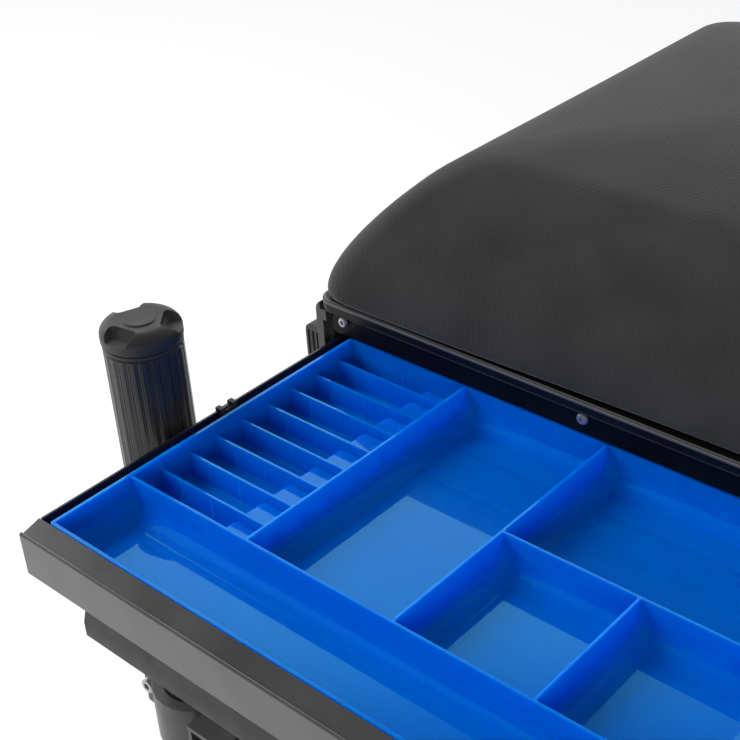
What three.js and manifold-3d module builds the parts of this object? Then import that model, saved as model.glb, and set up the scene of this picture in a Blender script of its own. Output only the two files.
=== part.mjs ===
import * as THREE from 'three';
import { mergeVertices } from 'three/addons/utils/BufferGeometryUtils.js';
import Module from 'manifold-3d';

// Fishing seat box with its front drawer open. Millimetres, +Z up, the front faces -Y.
// Depths are measured back from the front edge of the tray rim, heights up from the ground,
// and the last lines move the whole box so that its footprint is centred on the origin.

const clearance = 0.3; // gap between pieces that touch, seat or turn
const overrun = 2; // how far a cutter passes the face that it cuts

// Tray insert of the front drawer
const rimHeight = 330; // tray rim above the ground
const trayWidth = 409;
const trayDepth = 181.3;
const trayWell = 17.5; // rim down to the floor of a bin
const trayFloor = 1.3;
const trayWall = 1.8;
const partitionWall = 1.4;
const dividerWall = 1.1;
const dividerDrop = 5.8; // small dividers stop this far below the rim
const wallDraft = 0.5;
const trayCornerRadius = 1;
const binCornerRadius = 1.2;
const binFloorFillet = 4;
const smallFillet = 1.5;
const smallBinWidth = 71.3;
const largeBinWidth = 76;
const middleBinWidth = 62.8;
const frontBinDepth = 41.6;
const backBinFront = 107.1;
const dividerPitch = 15.9;
const dividerCount = 8;
const rightBinCount = 4;
const padLength = 22.6;
const padRise = 6.5;
const padRadius = 3;

// Front drawer
const sheet = 1.2; // folded steel of the drawer pans
const trayRoom = 5.5; // tray rim to the side of its pan
const railHalfWidth = trayWidth / 2 + trayRoom;
const panDepth = 297;
const panelOverlap = 0.3;
const panelHalfWidth = railHalfWidth + panelOverlap;
const panelThickness = 10.4;
const panelWall = 2.4;
const panelBelowRim = 22;
const beadDrop = 3.2;
const beadRadius = 0.9;
const slopeDrop = 2.4;
const slopeDepth = 8.4;
const sheetSetback = 0.3;
const pullInset = 32.8;
const pullHalfWidth = panelHalfWidth - pullInset;
const pullThickness = 2.4;
const pullReach = 1.9;
const pullTopInset = 8;
const pullKneeDrop = 3;
const pullSlopeDrop = 6;
const pullLipDrop = 7;
const clipAlong = 98;
const clipLength = 10;
const clipLeg = 1;
const clipDepth = 3.3;
const clipBridge = 0.5;
const clipTab = 2.5;
const clipTabRise = 0.2;

// Upper cassette
const bodyFront = 178; // front face of the front plate
const bodyDepth = 330;
const railRoom = 3.8; // pan side to the cassette's side wall
const sideInner = railHalfWidth + railRoom;
const frontPlateInset = 0.8;
const frontPlateHalfWidth = sideInner - frontPlateInset;
const frontPlateBottom = 2.2;
const frontPlateTop = 12.7;
const frontPlateThickness = 2;
const frontPlateRadius = 3.5;
const screwInset = 7.9; // outer screws from the ends of the front plate
const screwHeight = 10;
const screwHeadRadius = 2.75;
const screwHeadHeight = 1.6;
const screwShankRadius = 1.4;
const screwShankLength = 5;
const screwSocketRadius = 1.2;
const screwSocketDepth = 0.8;
const apronThickness = 3.7; // lip behind the front plate that takes its screws
const apronInset = 2;
const apronHalfWidth = frontPlateHalfWidth - apronInset;
const sideWall = 4;
const pillarWidth = 9;
const pillarOuter = sideInner + pillarWidth;
const pillarReach = 1.2; // pillars in front of the front plate
const pillarFront = bodyFront - pillarReach;
const pillarLength = 38;
const shoulderRadius = 6;
const shoulderDrop = 1.2; // start of the rounded shoulder below the top of the side wall
const columnWidth = 4.6;
const slotWidth = 2.2;
const slotDepth = 13;
const recessDepth = 4.2;
const recessBarDrop = 5.7; // bar left standing above the recess
const flangeTop = 15.1;
const flangeThickness = 2.1;
const flangeOverhang = 4.2; // flange over the inner face of the side wall
const flangeHalfWidth = sideInner + flangeOverhang;
const flangeRadius = 8;
const wellSideInset = 22;
const wellHalfWidth = flangeHalfWidth - wellSideInset;
const wellFrontInset = 20;
const wellBackInset = 56;
const wellWall = 2;
const wellFloorTop = 4.4;
const wellRadius = 10;
const cassetteDrop = 26; // bottom of the cassette below the rim
const runnerHeight = 17.5;
const runnerLedge = 15;
const runnerLedgeThickness = 3;
const runnerSetback = 14;
const backPanel = 3;

// Lower cabinet and its deep drawer
const cabinetHeight = 140.7;
const cabinetFloor = 4;
const deepPanelTop = 40; // below the rim
const deepWallDrop = 3.6; // drawer walls below the top of their panel
const deepDrawerDepth = 300;

// Lid and cushion
const lidSideOverhang = 1.5; // lid past the flange at its sides
const lidHalfWidth = flangeHalfWidth + lidSideOverhang;
const lidOverhang = 3.5; // lid past the body at front and back
const lidFront = bodyFront - lidOverhang;
const lidDepth = bodyDepth + 2 * lidOverhang;
const lidRadius = 8;
const lidBottom = flangeTop + clearance;
const lidHeight = 5;
const lidBoard = 2.2;
const lidRimWidth = 6.5;
const cushionOverhang = 2.9; // cushion past the lid at its sides
const cushionHalfWidth = lidHalfWidth + cushionOverhang;
const cushionFrontOverhang = 1.5;
const cushionBackOverhang = 0.8;
const cushionFront = lidFront - cushionFrontOverhang;
const cushionDepth = lidDepth + cushionFrontOverhang + cushionBackOverhang;
const cushionTuck = 8.3;
const cushionTuckHeight = 5.1;
const cushionSideHeight = 52.5;
const cushionCrown = 15.9;
const cushionShoulder = 47.8;
const cushionRadius = 22.1;
const cushionDrawIn = 5.8;
const sideDrawShare = 0.6; // of the draw-in, left at the widest ring
const cushionShares = [0.034, 0.09, 0.2, 0.36, 0.62, 1, 1.8, 3]; // ring insets, in shoulder widths
const leastCornerShare = 0.68; // of the corner radius, left at the top
const shoulderShare = 0.65; // how fast the shoulder rises

// Hinge of the lid
const hingeInset = 39.5; // hinge ends inside the lid's ends
const hingeHalfWidth = lidHalfWidth - hingeInset;
const knuckleCount = 5;
const hingeBehindLid = 5.5;
const hingeAxisHeight = 14;
const knuckleRadius = 4;
const hingePinRadius = 1.6;
const leafThickness = 2.2;
const lidLeafInset = 0.2; // lid leaf below the top of the lid's rim
const lidLeafTop = lidBottom + lidHeight - lidLeafInset;

// Side clips
const clipSetback = 4;
const clipFront = bodyFront + clipSetback;
const clipWidth = 30;
const clipOuter = 14; // how far a clip stands out from the pillar
const clipTop = 2.9; // top of the clip below the rim
const clipGripHeight = 28;
const clipGripRadius = 4;
const clipPivotDrop = 56;
const clipPivotOut = 8;
const rearClipInset = 130; // rear clips and pillars in front of the body's back
const clipSpacing = bodyDepth - rearClipInset; // from the front ones
const clipEyeRadius = 4.2;
const clipEar = 3;
const clipEarInset = 2;
const clipRoom = 2;
const clipPlate = 2.2;
const clipPlateHeight = 32;
const clipPinRadius = 1.5;
const clipRibCount = 4;
const clipRibDepth = 0.9;
const clipRibWidth = 1.3;
const clipRibInset = 1.6;
const clipRibDrop = 3.5;
const clipToothInset = 6;
const clipToothDrop = 12;
const clipToothHeight = 4;
const clipToothReach = 2.3;
const clipToothRoom = 2;

// Legs
const legStandoff = 14.7; // leg axes outside the pillars
const legAxisX = pillarOuter + legStandoff;
const frontLegReach = 94; // front leg axes in front of the body
const frontLegY = bodyFront - frontLegReach;
const rearLegInset = 48; // rear leg axes in front of the body's back
const rearLegY = bodyFront + bodyDepth - rearLegInset;
const legRadius = 18;
const legSides = 24;
const legWall = 2;
const frontTubeTop = 32.7; // above the rim
const rearTubeDrop = 18; // below the rim
const innerLegWall = 1.5;
const footHeight = 30;
const footRoom = 10; // foot to the bottom of a rear tube
const legTubeLength = rimHeight - rearTubeDrop - footRoom - footHeight;
const innerLegInset = 26;
const innerLegLength = legTubeLength - innerLegInset;
const footRadius = 22;
const footNeckRadius = 18.5;
const footSocket = 12;
const footEdge = 4;
const capRadius = 18.5;
const capRingRadius = 18.1;
const capRingHeight = 2.1;
const capGroove = 0.6;
const capHeight = 11.6;
const capPlugRadius = 15.5;
const capPlugLength = 9;
const capDomeStart = 6.4;
const capTopRadius = 11.8;
const capDiscRadius = 7.6;
const capDiscRise = 0.6;
const fingerCount = 3;
const fingerInner = 9.7; // finger recesses start this far from the axis
const fingerWidth = 15;
const fingerDepth = 4.6;
const fingerCorner = 2.5;
const fingerTurn = 0.35; // first recess from the outboard side, radians
const clampRadius = 24.5;
const clampHeight = 34;
const clampLug = 13;
const clampLugWidth = 15;
const clampSlit = 2;
const clampBoltRadius = 2.5;
const clampBoltHead = 4.2;
const clampBoltHeadHeight = 4;

// Chassis
const railWidth = 25;
const railHeight = 38;
const railWall = 2.5;
const legRoom = 4.5; // leg tube to rail
const railInner = legAxisX - legRadius - legRoom - railWidth;
const railFrontReach = 28; // rails run this far past the front leg axes
const crossDepth = 25;
const crossInset = 4;
const middleCrossBack = 142;

// Footplate
const deckReach = 67; // deck in front of the front leg axes
const deckFront = frontLegY - deckReach;
const deckCrossRoom = 10; // deck to the front cross tube
const deckDepth = bodyFront + crossInset - deckCrossRoom - deckFront;
const deckRoom = 4; // deck to rails
const deckHalfWidth = railInner - deckRoom;
const deckThickness = 8;
const deckNoseSlope = 9;
const deckNoseDrop = 3.4;
const deckNoseLip = 14;
const deckSlotCount = 5;
const deckSlotWidth = 8;
const deckSlotInset = 66; // slot ends inside the deck's ends
const deckSlotHalfLength = deckHalfWidth - deckSlotInset;
const deckSlotDepth = 2;
const barWidth = 20;
const barHeight = 18;
const barWall = 1.8;
const barInset = 26; // bar axes inside the deck's ends
const barCentre = deckHalfWidth - barInset;
const barFrontInset = 6;
const barBackReach = 20; // bars run this far past the rear leg axes
const barBack = rearLegY + barBackReach;
const guideWall = 3;
const guideLength = 16;

const wasm = await Module();
wasm.setup();

// A mesh with shared corners merged, as the boolean library wants it
function asManifold(geometry) {
  const bare = geometry.clone();
  bare.deleteAttribute('normal');
  bare.deleteAttribute('uv');
  const merged = mergeVertices(bare);
  return new wasm.Manifold(new wasm.Mesh({
    numProp: 3,
    vertProperties: new Float32Array(merged.attributes.position.array),
    triVerts: new Uint32Array(merged.index.array),
  }));
}

function asGeometry(manifold) {
  const mesh = manifold.getMesh();
  const geometry = new THREE.BufferGeometry();
  geometry.setAttribute('position', new THREE.BufferAttribute(mesh.vertProperties, mesh.numProp));
  geometry.setIndex(new THREE.BufferAttribute(mesh.triVerts, 1));
  return geometry;
}

function cut(geometry, ...tools) {
  let result = asManifold(geometry);
  for (const tool of tools) result = result.subtract(asManifold(tool));
  return asGeometry(result);
}

function join(...geometries) {
  let result = asManifold(geometries[0]);
  for (const other of geometries.slice(1)) result = result.add(asManifold(other));
  return asGeometry(result);
}

function block(x0, x1, y0, y1, z0, z1) {
  const geometry = new THREE.BoxGeometry(x1 - x0, y1 - y0, z1 - z0);
  return geometry.translate((x0 + x1) / 2, (y0 + y1) / 2, (z0 + z1) / 2);
}

// Swaps left and right and turns the faces out again
function mirrored(geometry) {
  const source = geometry.index ? geometry.toNonIndexed() : geometry.clone();
  const points = source.attributes.position.array;
  const flipped = new Float32Array(points.length);
  for (let corner = 0; corner < points.length; corner += 9) {
    for (let i = 0; i < 3; i += 1) {
      const from = corner + 3 * (2 - i);
      flipped[corner + 3 * i] = -points[from];
      flipped[corner + 3 * i + 1] = points[from + 1];
      flipped[corner + 3 * i + 2] = points[from + 2];
    }
  }
  const result = new THREE.BufferGeometry();
  result.setAttribute('position', new THREE.BufferAttribute(flipped, 3));
  return result;
}

function roundedRectangle(x0, x1, y0, y1, radius) {
  const shape = new THREE.Shape();
  shape.moveTo(x0 + radius, y0);
  shape.lineTo(x1 - radius, y0);
  shape.absarc(x1 - radius, y0 + radius, radius, -Math.PI / 2, 0);
  shape.lineTo(x1, y1 - radius);
  shape.absarc(x1 - radius, y1 - radius, radius, 0, Math.PI / 2);
  shape.lineTo(x0 + radius, y1);
  shape.absarc(x0 + radius, y1 - radius, radius, Math.PI / 2, Math.PI);
  shape.lineTo(x0, y0 + radius);
  shape.absarc(x0 + radius, y0 + radius, radius, Math.PI, 1.5 * Math.PI);
  return shape;
}

function polygon(points) {
  return new THREE.Shape(points.map(([u, v]) => new THREE.Vector2(u, v)));
}

function extrude(shape, depth, curveSegments) {
  return new THREE.ExtrudeGeometry(shape, { depth, curveSegments, bevelEnabled: false });
}

// A plan outline raised from z0 to z1
function upright(shape, z0, z1, curveSegments = 6) {
  return extrude(shape, z1 - z0, curveSegments).translate(0, 0, z0);
}

// An outline drawn in depth and height, run across from x0 to x1
function across(shape, x0, x1, curveSegments = 6) {
  const turn = new THREE.Matrix4().makeBasis(
    new THREE.Vector3(0, 1, 0),
    new THREE.Vector3(0, 0, 1),
    new THREE.Vector3(1, 0, 0),
  );
  return extrude(shape, x1 - x0, curveSegments).applyMatrix4(turn).translate(x0, 0, 0);
}

// An outline drawn in width and height, run back from y0 to y1
function backward(shape, y0, y1, curveSegments = 6) {
  const turn = new THREE.Matrix4().makeBasis(
    new THREE.Vector3(1, 0, 0),
    new THREE.Vector3(0, 0, 1),
    new THREE.Vector3(0, -1, 0),
  );
  return extrude(shape, y1 - y0, curveSegments).applyMatrix4(turn).translate(0, y1, 0);
}

// Closed body through rings of equal point counts, each anticlockwise from above, lowest first
function stack(rings) {
  const count = rings[0].length;
  const points = [];
  const faces = [];
  for (const ring of rings) for (const [x, y, z] of ring) points.push(x, y, z);
  for (let level = 0; level < rings.length - 1; level += 1) {
    for (let i = 0; i < count; i += 1) {
      const a = level * count + i;
      const b = level * count + ((i + 1) % count);
      faces.push(a, b, b + count, a, b + count, a + count);
    }
  }
  const cap = (ring, base, up) => {
    const centre = ring.reduce((sum, p) => sum.map((value, k) => value + p[k] / count), [0, 0, 0]);
    const hub = points.length / 3;
    points.push(...centre);
    for (let i = 0; i < count; i += 1) {
      const next = (i + 1) % count;
      if (up) faces.push(hub, base + i, base + next);
      else faces.push(hub, base + next, base + i);
    }
  };
  cap(rings[0], 0, false);
  cap(rings.at(-1), (rings.length - 1) * count, true);
  const geometry = new THREE.BufferGeometry();
  geometry.setAttribute('position', new THREE.BufferAttribute(new Float32Array(points), 3));
  geometry.setIndex(faces);
  return geometry;
}

function ringPoints(x0, x1, y0, y1, radius, z, steps) {
  const corners = [
    [x1 - radius, y0 + radius, -Math.PI / 2],
    [x1 - radius, y1 - radius, 0],
    [x0 + radius, y1 - radius, Math.PI / 2],
    [x0 + radius, y0 + radius, Math.PI],
  ];
  const ring = [];
  for (const [cx, cy, start] of corners) {
    for (let i = 0; i <= steps; i += 1) {
      const angle = start + (i / steps) * (Math.PI / 2);
      ring.push([cx + radius * Math.cos(angle), cy + radius * Math.sin(angle), z]);
    }
  }
  return ring;
}

// Hollow of a bin: drafted walls, rounded corners and a fillet round the floor
function binHollow(x0, x1, y0, y1, floor, top, radius, fillet, steps) {
  const rings = [];
  const filletSteps = Math.max(1, steps - 1);
  for (let i = 0; i <= filletSteps; i += 1) {
    const angle = (i / filletSteps) * (Math.PI / 2);
    const inset = wallDraft + fillet * (1 - Math.sin(angle));
    const z = floor + fillet * (1 - Math.cos(angle));
    rings.push(ringPoints(x0 + inset, x1 - inset, y0 + inset, y1 - inset, radius, z, steps));
  }
  rings.push(ringPoints(x0, x1, y0, y1, radius, top, steps));
  return stack(rings);
}

function ring(outer, inner, z0, z1, segments) {
  const profile = [[inner, z0], [outer, z0], [outer, z1], [inner, z1], [inner, z0]];
  return lathe(profile, segments);
}

function lathe(profile, segments) {
  const points = profile.map(([r, z]) => new THREE.Vector2(r, z));
  return new THREE.LatheGeometry(points, segments).rotateX(Math.PI / 2);
}

function rod(radius, z0, z1, segments = 16) {
  return lathe([[0, z0], [radius, z0], [radius, z1], [0, z1]], segments);
}

function alongX(geometry, x, y, z) {
  return geometry.rotateY(Math.PI / 2).translate(x, y, z);
}

function alongY(geometry, x, y, z) {
  return geometry.rotateX(Math.PI / 2).translate(x, y, z);
}

const seatBox = new THREE.Group();

function piece(name, geometry, color, roughness = 0.5, metalness = 0) {
  const mesh = new THREE.Mesh(geometry, new THREE.MeshStandardMaterial({ color, roughness, metalness }));
  mesh.name = name;
  seatBox.add(mesh);
  return mesh;
}

const moulded = '#3c3c3d';
const darkMoulded = '#232325';
const coatedSteel = '#17181a';
const coatedAluminium = '#2c2c2e';
const cobalt = '#0050be';
const bareSteel = '#b9bcc0';
const rubber = '#1d1d1e';
const cloth = '#464646';

const bodyBack = bodyFront + bodyDepth;
const panBottom = rimHeight - trayWell - trayFloor - clearance - sheet;
const panelBack = -sheetSetback - sheet - clearance;
const panelFront = panelBack - panelThickness + sheet;
const cassetteBottom = rimHeight - cassetteDrop;
const sideTop = rimHeight + frontPlateTop;

// Tray insert, moulded in one: outer walls, partitions, small dividers and their pads
function makeTray() {
  const half = trayWidth / 2;
  const top = rimHeight;
  const floor = rimHeight - trayWell;
  const above = top + overrun;
  const column = [0, smallBinWidth, smallBinWidth + largeBinWidth];
  column.push(column[2] + middleBinWidth, column[2] + 2 * middleBinWidth, trayWidth - smallBinWidth);
  column.push(trayWidth);
  const back = trayDepth;
  const edge = (position, limit) => (position === 0 || position === limit ? trayWall : partitionWall / 2);
  const hollow = (x0, x1, y0, y1) => binHollow(
    x0 + edge(x0, trayWidth) - half,
    x1 - edge(x1, trayWidth) - half,
    y0 + edge(y0, back),
    y1 - edge(y1, back),
    floor, above, binCornerRadius, binFloorFillet, 2,
  );
  const bins = [
    hollow(column[0], column[4], 0, frontBinDepth),
    hollow(column[4], column[6], 0, frontBinDepth),
    hollow(column[1], column[2], frontBinDepth, back),
    hollow(column[2], column[3], frontBinDepth, backBinFront),
    hollow(column[3], column[4], frontBinDepth, backBinFront),
    hollow(column[2], column[4], backBinFront, back),
    hollow(column[4], column[5], frontBinDepth, back),
  ];
  const rightPitch = (back - frontBinDepth) / rightBinCount;
  for (let i = 0; i < rightBinCount; i += 1) {
    const y0 = i === 0 ? frontBinDepth : frontBinDepth + i * rightPitch;
    const y1 = i === rightBinCount - 1 ? back : frontBinDepth + (i + 1) * rightPitch;
    bins.push(hollow(column[5], column[6], y0, y1));
  }
  const x0 = column[0] + trayWall - half;
  const x1 = column[1] - partitionWall / 2 - half;
  const smallFront = frontBinDepth + partitionWall / 2;
  const smallBack = back - trayWall;
  const headroom = ringPoints(x0, x1, smallFront, smallBack, smallFillet, top - dividerDrop, 2);
  const headroomTop = ringPoints(x0, x1, smallFront, smallBack, smallFillet, above, 2);
  bins.push(stack([headroom, headroomTop]));
  for (let i = 0; i <= dividerCount; i += 1) {
    const y0 = i === 0 ? smallFront : frontBinDepth + i * dividerPitch + dividerWall / 2;
    const y1 = i === dividerCount ? smallBack : frontBinDepth + (i + 1) * dividerPitch - dividerWall / 2;
    const bin = binHollow(x0, x1, y0, y1, floor, top - dividerDrop + wallDraft, smallFillet, smallFillet, 2);
    const pad = roundedRectangle(
      x1 - padLength, x1 + overrun + padRadius, y0 + wallDraft, y1 + padRadius, padRadius,
    );
    bins.push(cut(bin, upright(pad, floor - overrun, floor + padRise, 3)));
  }
  const outline = roundedRectangle(-half, half, 0, back, trayCornerRadius);
  return cut(upright(outline, floor - trayFloor, top, 4), ...bins);
}
piece('tray_insert', makeTray(), cobalt, 0.18);

// Folded steel pan, open at the top
function makePan(halfWidth, front, back, bottom, top, frontTop) {
  const outer = block(-halfWidth, halfWidth, front, back, bottom, top);
  const inside = block(
    -halfWidth + sheet, halfWidth - sheet, front + sheet, back - sheet, bottom + sheet, top + overrun,
  );
  const step = block(
    -halfWidth - overrun, halfWidth + overrun,
    front - overrun, front + sheet + clearance,
    frontTop, top + overrun,
  );
  return cut(outer, inside, step);
}
piece(
  'drawer_pan',
  makePan(
    railHalfWidth, panelBack + clearance, panelBack + panDepth,
    panBottom, rimHeight, rimHeight - slopeDrop,
  ),
  coatedSteel, 0.35, 0.3,
);

// Drawer front: a shell with a vertical face, a bead along its top edge and a top that slopes up and back
function makePanel(front, top, bottom) {
  const notch = front + 2 * beadRadius;
  const back = front + panelThickness - sheet;
  const lip = front + slopeDepth + 2 * beadRadius + clearance;
  const outline = new THREE.Shape();
  outline.moveTo(front, bottom);
  outline.lineTo(back, bottom);
  outline.lineTo(back, top - slopeDrop);
  outline.lineTo(lip, top - slopeDrop / 2);
  outline.lineTo(lip, top);
  outline.lineTo(notch, top - slopeDrop);
  outline.absarc(front + beadRadius, top - beadDrop + beadRadius, beadRadius, 0, Math.PI);
  outline.lineTo(front, bottom);
  const shell = across(outline, -panelHalfWidth, panelHalfWidth, 5);
  const inner = polygon([
    [front + panelWall, bottom - overrun],
    [back + overrun, bottom - overrun],
    [back + overrun, top - slopeDrop - panelWall],
    [front + panelWall, top - beadDrop - panelWall],
  ]);
  const hollow = across(inner, -panelHalfWidth + panelWall, panelHalfWidth - panelWall);
  return cut(shell, hollow);
}
piece('drawer_panel', makePanel(panelFront, rimHeight, rimHeight - panelBelowRim), moulded, 0.42);

// Finger pull under a drawer front: a plate inside the panel that leans out to a hanging lip
function makePull(front, bottom) {
  const face = front + panelWall + clearance;
  const knee = bottom - pullKneeDrop;
  const lipTop = knee - pullSlopeDrop;
  const lipFace = face - pullReach;
  return across(polygon([
    [lipFace, lipTop - pullLipDrop],
    [lipFace + pullThickness, lipTop - pullLipDrop],
    [lipFace + pullThickness, lipTop],
    [face + pullThickness, knee],
    [face + pullThickness, bottom + pullTopInset],
    [face, bottom + pullTopInset],
    [face, knee],
    [lipFace, lipTop],
  ]), -pullHalfWidth, pullHalfWidth);
}
piece('drawer_pull', makePull(panelFront, rimHeight - panelBelowRim), darkMoulded, 0.5);

// Spring clip over the pan's side edge, which holds the tray down
function makeTrayClip() {
  const outerFace = railHalfWidth + clearance + clipLeg;
  const innerFace = railHalfWidth - sheet - clearance - clipLeg;
  const bridge = rimHeight + clearance + clipBridge;
  const body = cut(
    block(innerFace, outerFace, clipAlong, clipAlong + clipLength, rimHeight - clipDepth, bridge),
    block(
      innerFace + clipLeg, outerFace - clipLeg,
      clipAlong - overrun, clipAlong + clipLength + overrun,
      rimHeight - clipDepth - overrun, rimHeight + clearance,
    ),
  );
  const tab = (y) => block(
    innerFace, outerFace, y, y + clipTab, bridge - clipBridge / 2, bridge + clipTabRise,
  );
  return join(body, tab(clipAlong), tab(clipAlong + clipLength - clipTab));
}
piece('tray_clip_right', makeTrayClip(), darkMoulded, 0.5);
piece('tray_clip_left', mirrored(makeTrayClip()), darkMoulded, 0.5);

// Side section shared by the cassette and the cabinet: a wall with two pillars that carry the clips
function pillarOutline(bottom, top, shouldered) {
  const shape = new THREE.Shape();
  shape.moveTo(sideInner, bottom);
  shape.lineTo(pillarOuter, bottom);
  if (shouldered) {
    const inner = lidHalfWidth + clearance;
    const centre = pillarOuter - shoulderRadius;
    const end = Math.acos((inner - centre) / shoulderRadius);
    shape.absarc(centre, top - shoulderDrop, shoulderRadius, 0, end);
    shape.lineTo(inner, top);
  } else {
    shape.lineTo(pillarOuter, top);
  }
  shape.lineTo(sideInner, top);
  return shape;
}

function makeSide(bottom, top, shouldered, barDrop) {
  const outline = pillarOutline(bottom, top, shouldered);
  const rearFront = pillarFront + clipSpacing;
  const side = join(
    block(sideInner, sideInner + sideWall, bodyFront, bodyBack, bottom, top),
    backward(outline, pillarFront, pillarFront + pillarLength),
    backward(outline, rearFront, rearFront + pillarLength),
  );
  const slot = block(
    sideInner - overrun, sideInner + slotWidth,
    pillarFront - overrun, pillarFront + slotDepth,
    bottom - overrun, top + overrun,
  );
  const recess = block(
    sideInner, pillarOuter - columnWidth,
    pillarFront - overrun, pillarFront + recessDepth,
    bottom - overrun, top - barDrop,
  );
  return cut(side, slot, recess);
}

const clipTopZ = rimHeight - clipTop;
const toothTop = clipTopZ - clipToothDrop;
const clipFronts = [clipFront, clipFront + clipSpacing];
const pivotX = pillarOuter + clipPivotOut;
const pivotZ = rimHeight - clipPivotDrop;

// Pockets in the cassette pillars where the clip teeth hook in
function toothPocket(front) {
  return block(
    pillarOuter - clipToothReach - clipToothRoom, pillarOuter + overrun,
    front + clipToothInset - clipToothRoom, front + clipWidth - clipToothInset + clipToothRoom,
    toothTop - clipToothHeight - clipToothRoom, toothTop + clipToothRoom,
  );
}

// Runner inside the cassette wall: a web and the ledge that the drawer slides on
function makeRunner() {
  const inner = railHalfWidth + clearance;
  const root = sideInner + sideWall / 2;
  const ledgeTop = panBottom - clearance;
  const ledgeBottom = ledgeTop - runnerLedgeThickness;
  return backward(polygon([
    [inner - runnerLedge, ledgeBottom],
    [root, ledgeBottom],
    [root, ledgeBottom + runnerHeight],
    [inner, ledgeBottom + runnerHeight],
    [inner, ledgeTop],
    [inner - runnerLedge, ledgeTop],
  ]), bodyFront + runnerSetback, bodyBack - backPanel - clearance);
}
const cassetteSide = cut(
  join(makeSide(cassetteBottom, sideTop, true, recessBarDrop), makeRunner()),
  ...clipFronts.map(toothPocket),
);
piece('cassette_side_right', cassetteSide, coatedAluminium, 0.5, 0.2);
piece('cassette_side_left', mirrored(cassetteSide), coatedAluminium, 0.5, 0.2);

const insideHalf = sideInner - clearance;
const backFace = bodyBack - backPanel;
piece(
  'cassette_back',
  block(-insideHalf, insideHalf, backFace, bodyBack, cassetteBottom, sideTop),
  coatedAluminium, 0.5, 0.2,
);

// Screw along the depth, its head to the front
const screwShares = [-1, -1 / 3, 1 / 3, 1]; // of the outer screws' distance from the middle
const screwSpots = screwShares.map((share) => share * (frontPlateHalfWidth - screwInset));
const screwSeat = bodyFront - clearance;
function makeScrew(x) {
  const screw = lathe([
    [0, -screwShankLength],
    [screwShankRadius, -screwShankLength],
    [screwShankRadius, 0],
    [screwHeadRadius, 0],
    [screwHeadRadius, screwHeadHeight / 3],
    [screwHeadRadius - screwHeadHeight / 2, screwHeadHeight],
    [screwSocketRadius, screwHeadHeight],
    [screwSocketRadius, screwHeadHeight - screwSocketDepth],
    [0, screwHeadHeight - screwSocketDepth],
  ], 10);
  return screw.rotateX(Math.PI / 2).translate(x, screwSeat, rimHeight + screwHeight);
}
function screwBore(x) {
  const bore = rod(screwShankRadius + clearance, -screwShankLength - clearance, overrun, 8);
  return bore.rotateX(Math.PI / 2).translate(x, screwSeat, rimHeight + screwHeight);
}
const plateOutline = roundedRectangle(
  -frontPlateHalfWidth, frontPlateHalfWidth,
  rimHeight + frontPlateBottom, rimHeight + frontPlateTop, frontPlateRadius,
);
const plateBack = bodyFront + frontPlateThickness;
piece(
  'front_plate',
  cut(backward(plateOutline, bodyFront, plateBack, 3), ...screwSpots.map(screwBore)),
  coatedSteel, 0.25, 0.3,
);
const screwPlaces = ['outer_left', 'inner_left', 'inner_right', 'outer_right'];
screwSpots.forEach((x, i) => piece(`plate_screw_${screwPlaces[i]}`, makeScrew(x), bareSteel, 0.3, 1));

// Shallow well under the lid, with its flange on the side walls and a lip behind the front plate
function makeLidWell() {
  const top = rimHeight + flangeTop;
  const flangeBottom = top - flangeThickness;
  const floor = rimHeight + wellFloorTop;
  const y0 = pillarFront + wellFrontInset;
  const y1 = bodyBack - wellBackInset;
  const flange = roundedRectangle(-flangeHalfWidth, flangeHalfWidth, pillarFront, bodyBack, flangeRadius);
  const outer = roundedRectangle(-wellHalfWidth, wellHalfWidth, y0, y1, wellRadius);
  const inner = roundedRectangle(
    -wellHalfWidth + wellWall, wellHalfWidth - wellWall, y0 + wellWall, y1 - wellWall, wellRadius - wellWall,
  );
  const lipFront = plateBack + clearance;
  const lip = block(
    -apronHalfWidth, apronHalfWidth, lipFront, lipFront + apronThickness,
    rimHeight + frontPlateBottom + clearance, top - flangeThickness / 2,
  );
  const body = join(upright(flange, flangeBottom, top), upright(outer, floor - wellWall, top), lip);
  return cut(body, upright(inner, floor, top + overrun), ...screwSpots.map(screwBore));
}
piece('lid_well_tray', makeLidWell(), darkMoulded, 0.45);

// Lower cabinet
const cabinetTop = cassetteBottom - clearance;
const cabinetBottom = cabinetTop - cabinetHeight;

// Bracket on a pillar of the cabinet, with the two ears that a side clip turns in
function clipBracket(front) {
  const inner = pillarOuter - sideWall / 2;
  const plateOuter = pillarOuter + clearance + clipPlate;
  const back = front + clipWidth;
  const plate = block(
    inner, plateOuter, front, back, pivotZ - clipPlateHeight / 2, pivotZ + clipPlateHeight / 2,
  );
  const ear = (y) => join(
    block(inner, pivotX, y, y + clipEar, pivotZ - clipEyeRadius, pivotZ + clipEyeRadius),
    alongY(rod(clipEyeRadius, -clipEar, 0), pivotX, y, pivotZ),
  );
  const bracket = join(plate, ear(front + clipEarInset), ear(back - clipEarInset - clipEar));
  return cut(bracket, alongY(rod(clipPinRadius + clearance, -clipWidth, 0), pivotX, front, pivotZ));
}
const cabinetSide = join(
  makeSide(cabinetBottom, cabinetTop, false, 0),
  ...clipFronts.map(clipBracket),
);
piece('cabinet_side_right', cabinetSide, coatedAluminium, 0.5, 0.2);
piece('cabinet_side_left', mirrored(cabinetSide), coatedAluminium, 0.5, 0.2);
piece(
  'cabinet_back',
  block(-insideHalf, insideHalf, backFace, bodyBack, cabinetBottom, cabinetTop),
  coatedAluminium, 0.5, 0.2,
);
piece(
  'cabinet_floor',
  block(
    -insideHalf, insideHalf, bodyFront, backFace - clearance,
    cabinetBottom, cabinetBottom + cabinetFloor,
  ),
  coatedAluminium, 0.5, 0.2,
);

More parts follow.
